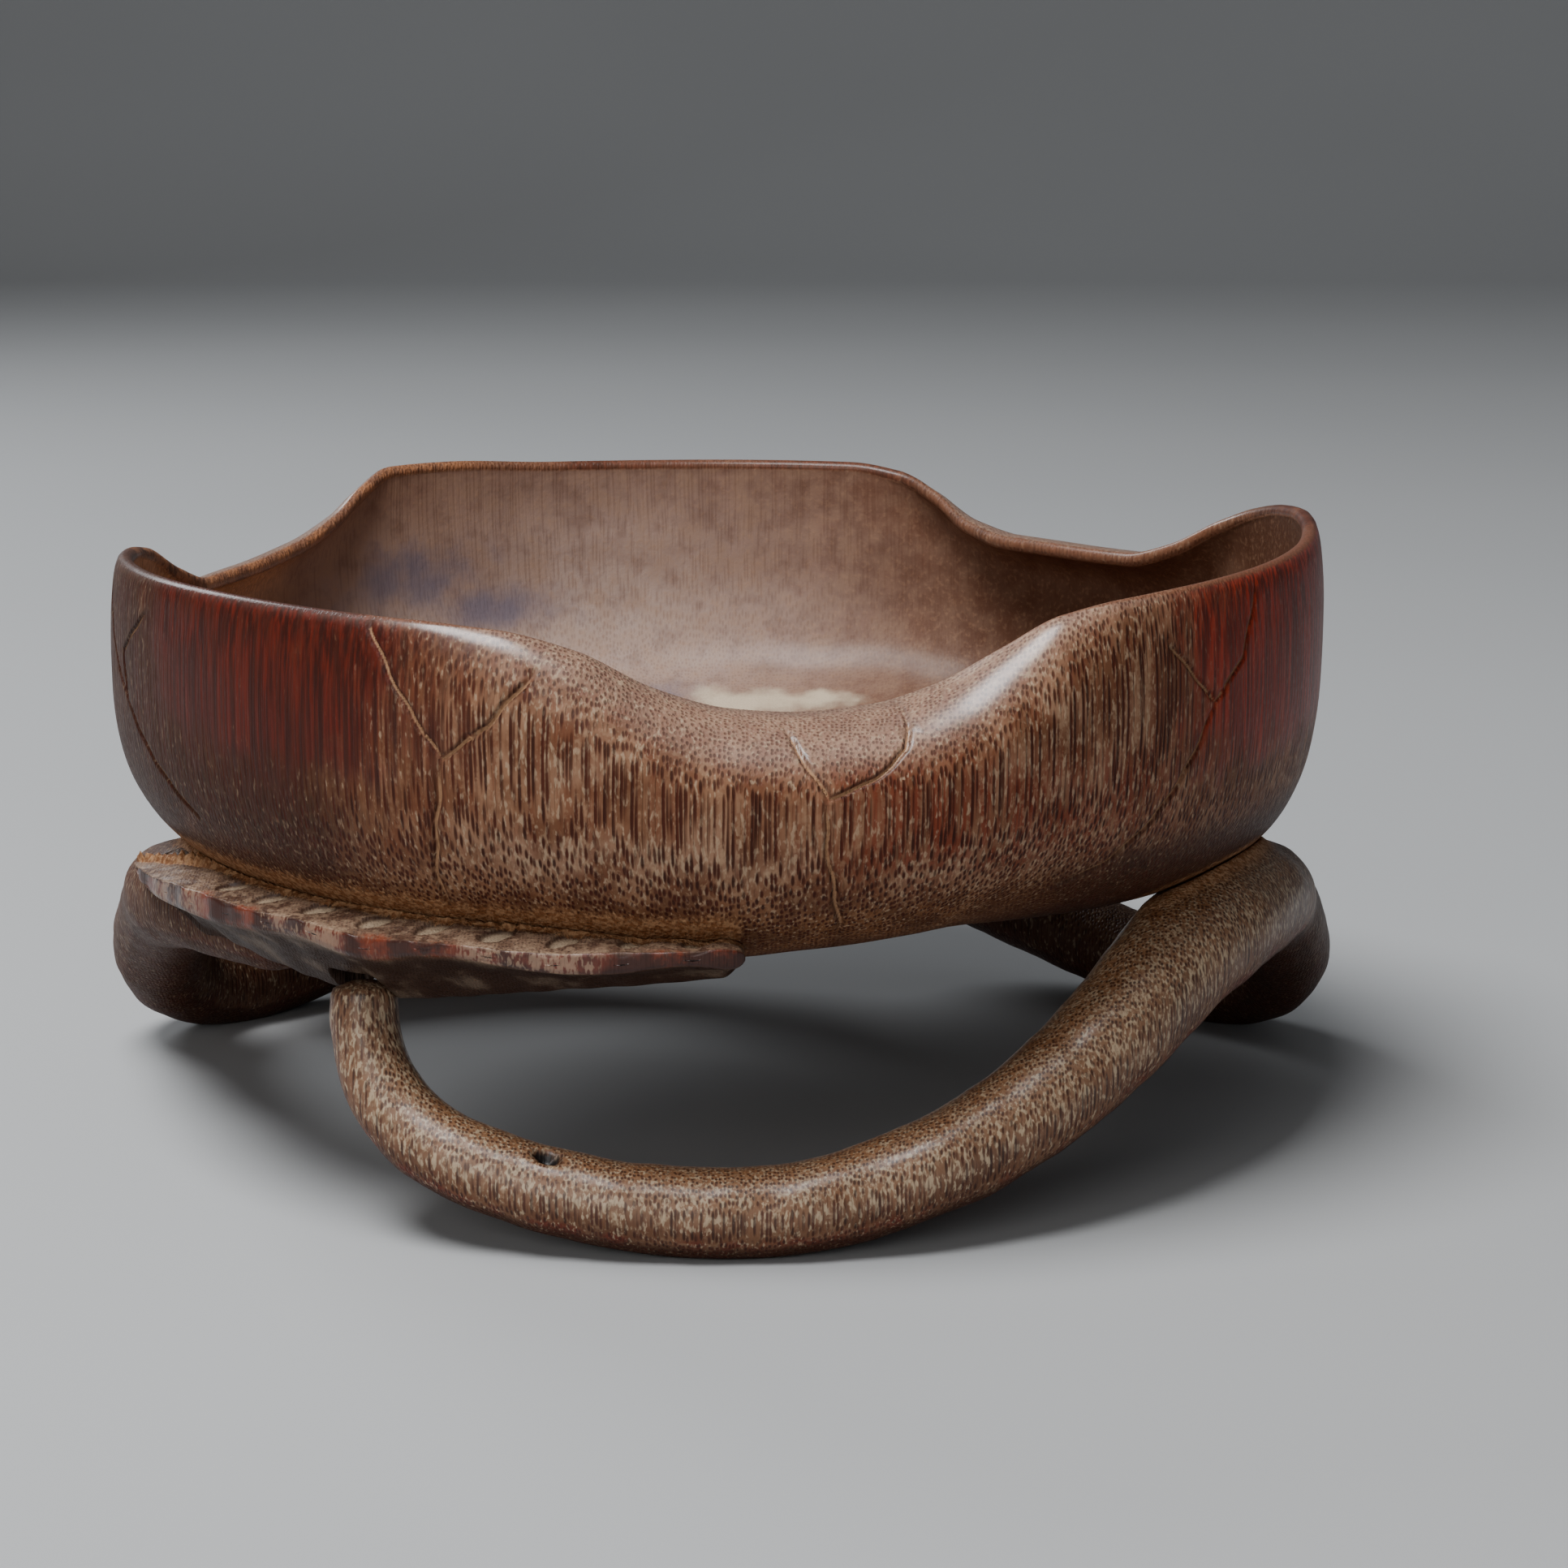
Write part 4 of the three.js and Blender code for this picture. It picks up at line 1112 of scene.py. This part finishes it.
# %% The cup's sheen and relief
# Fibres lie a little below the pith. The rolled shoulders are the most handled, and shine.
relief = (streak * 0.3 - core * 0.9) * (1 - inside * 0.8) * (1 - skin_left * 0.5) + fine * 0.45
relief = relief + torn * flake * 2.5 + grit * flake * 1.5 * (1 - inside)
satin = 0.5 + (fine - 0.5) * 0.3 - skin_left * 0.08 + seam * 0.2 + vein * 0.2
sheen = rolled.rises(0.15, 0.8) * 1.3 + skin_left * 0.16 + inside * (0.18 - dim * 0.15) + 0.04
sheen = sheen * (1 - lip * 0.5) * (1 - seam) * (1 - vein_edge * 0.8) * (1 - vein * 0.8)
sheen = sheen * (0.45 + flake * 0.8 + fine * 0.3)
cup.wear(Base_Color=cup.blend(inside, outside, within), Roughness=satin.held())
cup.wear(Coat_Weight=sheen.held(), Normal=cup.bump(relief, 0.7, 0.16))
print("the cup's finish:", len(cup.tree.nodes), "nodes")

# %% [markdown]
# ## The stems', the leaf's and the pegs' finishes
#
# The stems have shorter fibres, are rubbed pale along the top of the front run, where painted light
# also pales their tops, and take painted shade below and at the back, with red below. The leaf is
# greyer, with pale scoops where the gouge went, a painted shadow round each scoop, painted shade on
# its underside, and a dark lip that is flaked pale in three places. The pegs are fresh split bamboo,
# plain and light.


# %% Stems
def stem_finish():
    f = Finish("stem_bamboo", Coat_Roughness=0.32, Specular_IOR_Level=0.12)
    dark, beside, core, tone, wide = fibres(f, 0.56, 5.0)
    seam, worn, crown, under, pit, aged = f.traits("seam worn crown under pit aged")
    broad, mid, fine = f.cloud(15, 2, 3), f.cloud(4, 4, 13), f.cloud(0.7, 2, 33)
    flake = f.cloud(0.5, 2, 57, along=0.4)
    # Painted shade on the undersides and the back legs.
    under_and_back_shade = (under.rises(0.2, 1.0) * 1.1 + aged * 0.75 + (mid - 0.5) * 0.7).held()
    wear = (worn * 0.8 + (mid - 0.5) * 1.6) * (1 - under_and_back_shade * 0.7)
    flecks = beside * fine.rises(0.42, 0.62) * (0.25 + worn * 0.5) * (1 - under_and_back_shade * 0.85)
    grit = gritty(seam, mid, flake)
    wood = f.coats(
        f.blend(broad.rises(0.35, 0.65), (92, 58, 38), (118, 82, 58)),
        (mid.rises(0.48, 0.7) * 0.6 * (1 - worn * 0.4), (96, 40, 22)),
        # painted light on the stem's top
        (crown * 0.55, (146, 102, 68)),
        (wide * 0.45, (70, 36, 24)),
        (under.rises(0.0, 0.3) * mid.rises(0.42, 0.6) * 0.75, (106, 38, 24)),
        # painted shade below and at the back
        (under_and_back_shade * 0.9, f.blend(mid, (44, 25, 18), (66, 40, 29))),
        # wear, paler on the top as painted light
        (wear.rises(0.3, 1.1) * 0.3, (144, 120, 98)),
        ((flake + wear * 0.11).rises(0.57, 0.7) * (0.75 - under_and_back_shade * 0.5), (178, 158, 130)),
        (flecks * 0.7, (172, 150, 122)),
        (dark * 0.8, f.blend(tone, (46, 24, 17), (76, 36, 22))),
        (grit * 0.8, f.blend(fine.rises(0.4, 0.6), (144, 98, 64), (184, 142, 106))),
        # painted shade in the knot's pit
        (pit, (20, 12, 9)),
    )
    satin = 0.52 + (fine - 0.5) * 0.35 + seam * 0.18
    gloss = (0.2 + worn * 0.5) * (1 - seam) * (1 - under_and_back_shade * 0.92) * (0.5 + flake)
    relief = fine * 0.7 - core * 0.6 + mid * 0.5 + grit * flake * 1.5
    f.wear(Base_Color=wood, Roughness=satin.held(), Coat_Weight=gloss.held())
    f.wear(Normal=f.bump(relief, 0.75, 0.18))
    return f.material


# %% Leaf
def leaf_finish():
    f = Finish("leaf_bamboo", Coat_Roughness=0.32, Specular_IOR_Level=0.12)
    dark, _, core, _, _ = fibres(f, 0.5, 5.0)
    top, lip, under, gouge, faced, ember, seam = f.traits("top lip under gouge faced ember seam")
    mid, fine, scratch = f.cloud(5, 4, 9), f.cloud(0.8, 3, 19), f.cloud(1.2, 3, 29, along=5.0)
    flake = f.cloud(0.5, 2, 57, along=0.4)
    scoop = gouge.rises(0.45, 0.9) * (0.5 + fine * 0.7).held()
    # Painted shadow round the rim of each gouge scoop.
    scoop_rim_shadow = gouge.rises(0.0, 0.35) * (1 - gouge.rises(0.4, 0.85))
    flaked = (faced * 0.14 + flake + (mid - 0.5) * 0.8).rises(0.6, 0.72)
    frayed = (seam * 1.2 + (mid - 0.5) * 0.8 + (flake - 0.5) * 1.6).rises(0.3, 0.9)
    wood = f.coats(
        f.blend(mid.rises(0.35, 0.65), (72, 50, 39), (108, 84, 68)),
        (dark * 0.7, (44, 25, 18)),
        (top * (scratch * 0.7 + fine * 0.5).rises(0.56, 0.72) * 0.5, (140, 116, 94)),
        (scoop * 0.9, (170, 150, 126)),
        # painted shadow at the scoops' rims
        (scoop_rim_shadow * 0.75, (52, 33, 25)),
        (lip * 0.9, f.blend(mid.rises(0.42, 0.6), (52, 24, 17), (94, 38, 24))),
        (ember * (mid * 0.7 + fine * 0.3).rises(0.45, 0.58) * 0.8, (108, 46, 25)),
        (flaked * (0.18 + faced * 0.36), (150, 126, 104)),
        # painted shade on the underside
        (under * 0.85, f.blend(mid.rises(0.5, 0.72), (42, 26, 19), (88, 74, 62))),
        (frayed * 0.85, f.blend(fine.rises(0.4, 0.6), (126, 82, 50), (164, 124, 88))),
    )
    satin = 0.46 + (fine - 0.5) * 0.3 + gouge * 0.15 + seam * 0.2 - lip * 0.06
    gloss = (lip * 0.45 + faced * 0.2 + top * 0.12) * (1 - seam)
    relief = core * 0.4 + fine * 0.8 + scratch * top + frayed * flake * 2
    f.wear(Base_Color=wood, Roughness=satin.held(), Coat_Weight=gloss.held())
    f.wear(Normal=f.bump(relief, 0.8, 0.18))
    return f.material


# %% Pegs
def peg_finish():
    f = Finish("peg_bamboo", Specular_IOR_Level=0.35)
    dark, _, core, _, _ = fibres(f, 0.6, 9.0)
    mid, fine = f.cloud(3, 3), f.cloud(0.6, 2, 7)
    wood = f.blend(dark * 0.6, f.blend(mid, (150, 112, 72), (182, 146, 98)), (116, 78, 46))
    relief = core + fine * 0.4
    f.wear(Base_Color=wood, Roughness=(0.6 + fine * 0.2).held(), Normal=f.bump(relief, 0.4, 0.05))
    return f.material


# %% [markdown]
# ## Dressing the pieces
#
# Each carved skin stands for one member of the measured model, rides on the bowl's one body, and takes
# the finish made for it. The pegs stay as they were measured, in plain split bamboo.

# %% Ride, replace, slot
stem_bamboo = stem_finish()
for piece, node, finish, slot in (
    (cup_piece, "cup", cup.material, "cup_bamboo"),
    (long_piece, "long_stem", stem_bamboo, "stem_bamboo"),
    (short_piece, "short_stem", stem_bamboo, "stem_bamboo"),
    (leaf_piece, "curled_leaf", leaf_finish(), "leaf_bamboo"),
):
    piece.data.materials.append(finish)
    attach(piece, "root")
    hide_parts(node)

peg_bamboo = peg_finish()
pegs = [node for name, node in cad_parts.items() if "_peg_" in name]
for peg in pegs:
    for holder in peg.material_slots:
        holder.material = peg_bamboo
print("pegs dressed:", len(pegs))

# %% [markdown]
# ## Floor, light and camera
#
# The bowl stands on a plain pale floor that sweeps up behind it. A large soft light hangs above and
# behind on the left, like a window, and weaker ones fill the front, so the shoulders shine and the
# underside stays dark.


# %% Floor
def sweep():
    bm = bmesh.new()
    half, floor_end, bend = 8.0, 1.6, 0.8
    line = [(-8.0, 0.0), (floor_end, 0.0)]
    line += [
        (floor_end + bend * math.sin(a), bend * (1 - math.cos(a)))
        for a in np.linspace(0, math.pi / 2, 17)[1:]
    ]
    line.append((floor_end + bend, 4.0))
    verts = [bm.verts.new((-half, y, z)) for y, z in line]
    edges = [bm.edges.new(pair) for pair in zip(verts, verts[1:])]
    made = bmesh.ops.extrude_edge_only(bm, edges=edges)["geom"]
    moved = [v for v in made if isinstance(v, bmesh.types.BMVert)]
    bmesh.ops.translate(bm, verts=moved, vec=(2 * half, 0, 0))
    bmesh.ops.recalc_face_normals(bm, faces=bm.faces)
    for face in bm.faces:
        face.smooth = True
    mesh = bpy.data.meshes.new("floor")
    bm.to_mesh(mesh)
    bm.free()
    return bpy.data.objects.new("floor", mesh)


floor = sweep()
bpy.context.scene.collection.objects.link(floor)
paper = Finish("paper", Roughness=0.8, Specular_IOR_Level=0.2)
tint = paper.blend(paper.cloud(300, 1), (0.35, 0.352, 0.355, 1), (0.38, 0.382, 0.385, 1))
paper.wear(Base_Color=tint)
floor.data.materials.append(paper.material)


# %% Lights
def soft_light(name, place, aim, size, watts, colour=(1, 1, 1)):
    lamp = bpy.data.lights.new(name, "AREA")
    lamp.shape, lamp.size, lamp.energy, lamp.color = "DISK", size, watts, colour
    holder = bpy.data.objects.new(name, lamp)
    holder.location = place
    holder.rotation_euler = (Vector(aim) - Vector(place)).to_track_quat("-Z", "Y").to_euler()
    bpy.context.scene.collection.objects.link(holder)


middle = (0, 0, 0.05)
soft_light("window", (-0.28, -0.3, 1.05), middle, 0.6, 19, (0.97, 0.985, 1.0))
soft_light("front_fill", (-0.5, -1.3, 0.6), middle, 0.9, 6, (1.0, 0.98, 0.95))
soft_light("back_rim", (-0.7, 0.8, 0.7), middle, 0.5, 7, (0.92, 0.96, 1.0))
sky = bpy.data.worlds.new("sky")
sky.use_nodes = True
sky.node_tree.nodes["Background"].inputs["Color"].default_value = (0.86, 0.9, 0.95, 1)
sky.node_tree.nodes["Background"].inputs["Strength"].default_value = 0.17
bpy.context.scene.world = sky

# %% Camera
eye, target = Vector((0.010, -0.5513, 0.1686)), Vector((0.010, -0.012, 0.051))
camera = bpy.data.objects.new("camera", bpy.data.cameras.new("camera"))
camera.data.sensor_width, camera.data.lens = 36, 84
camera.location = eye
camera.rotation_euler = (target - eye).to_track_quat("-Z", "Y").to_euler()
bpy.context.scene.collection.objects.link(camera)
bpy.context.scene.camera = camera
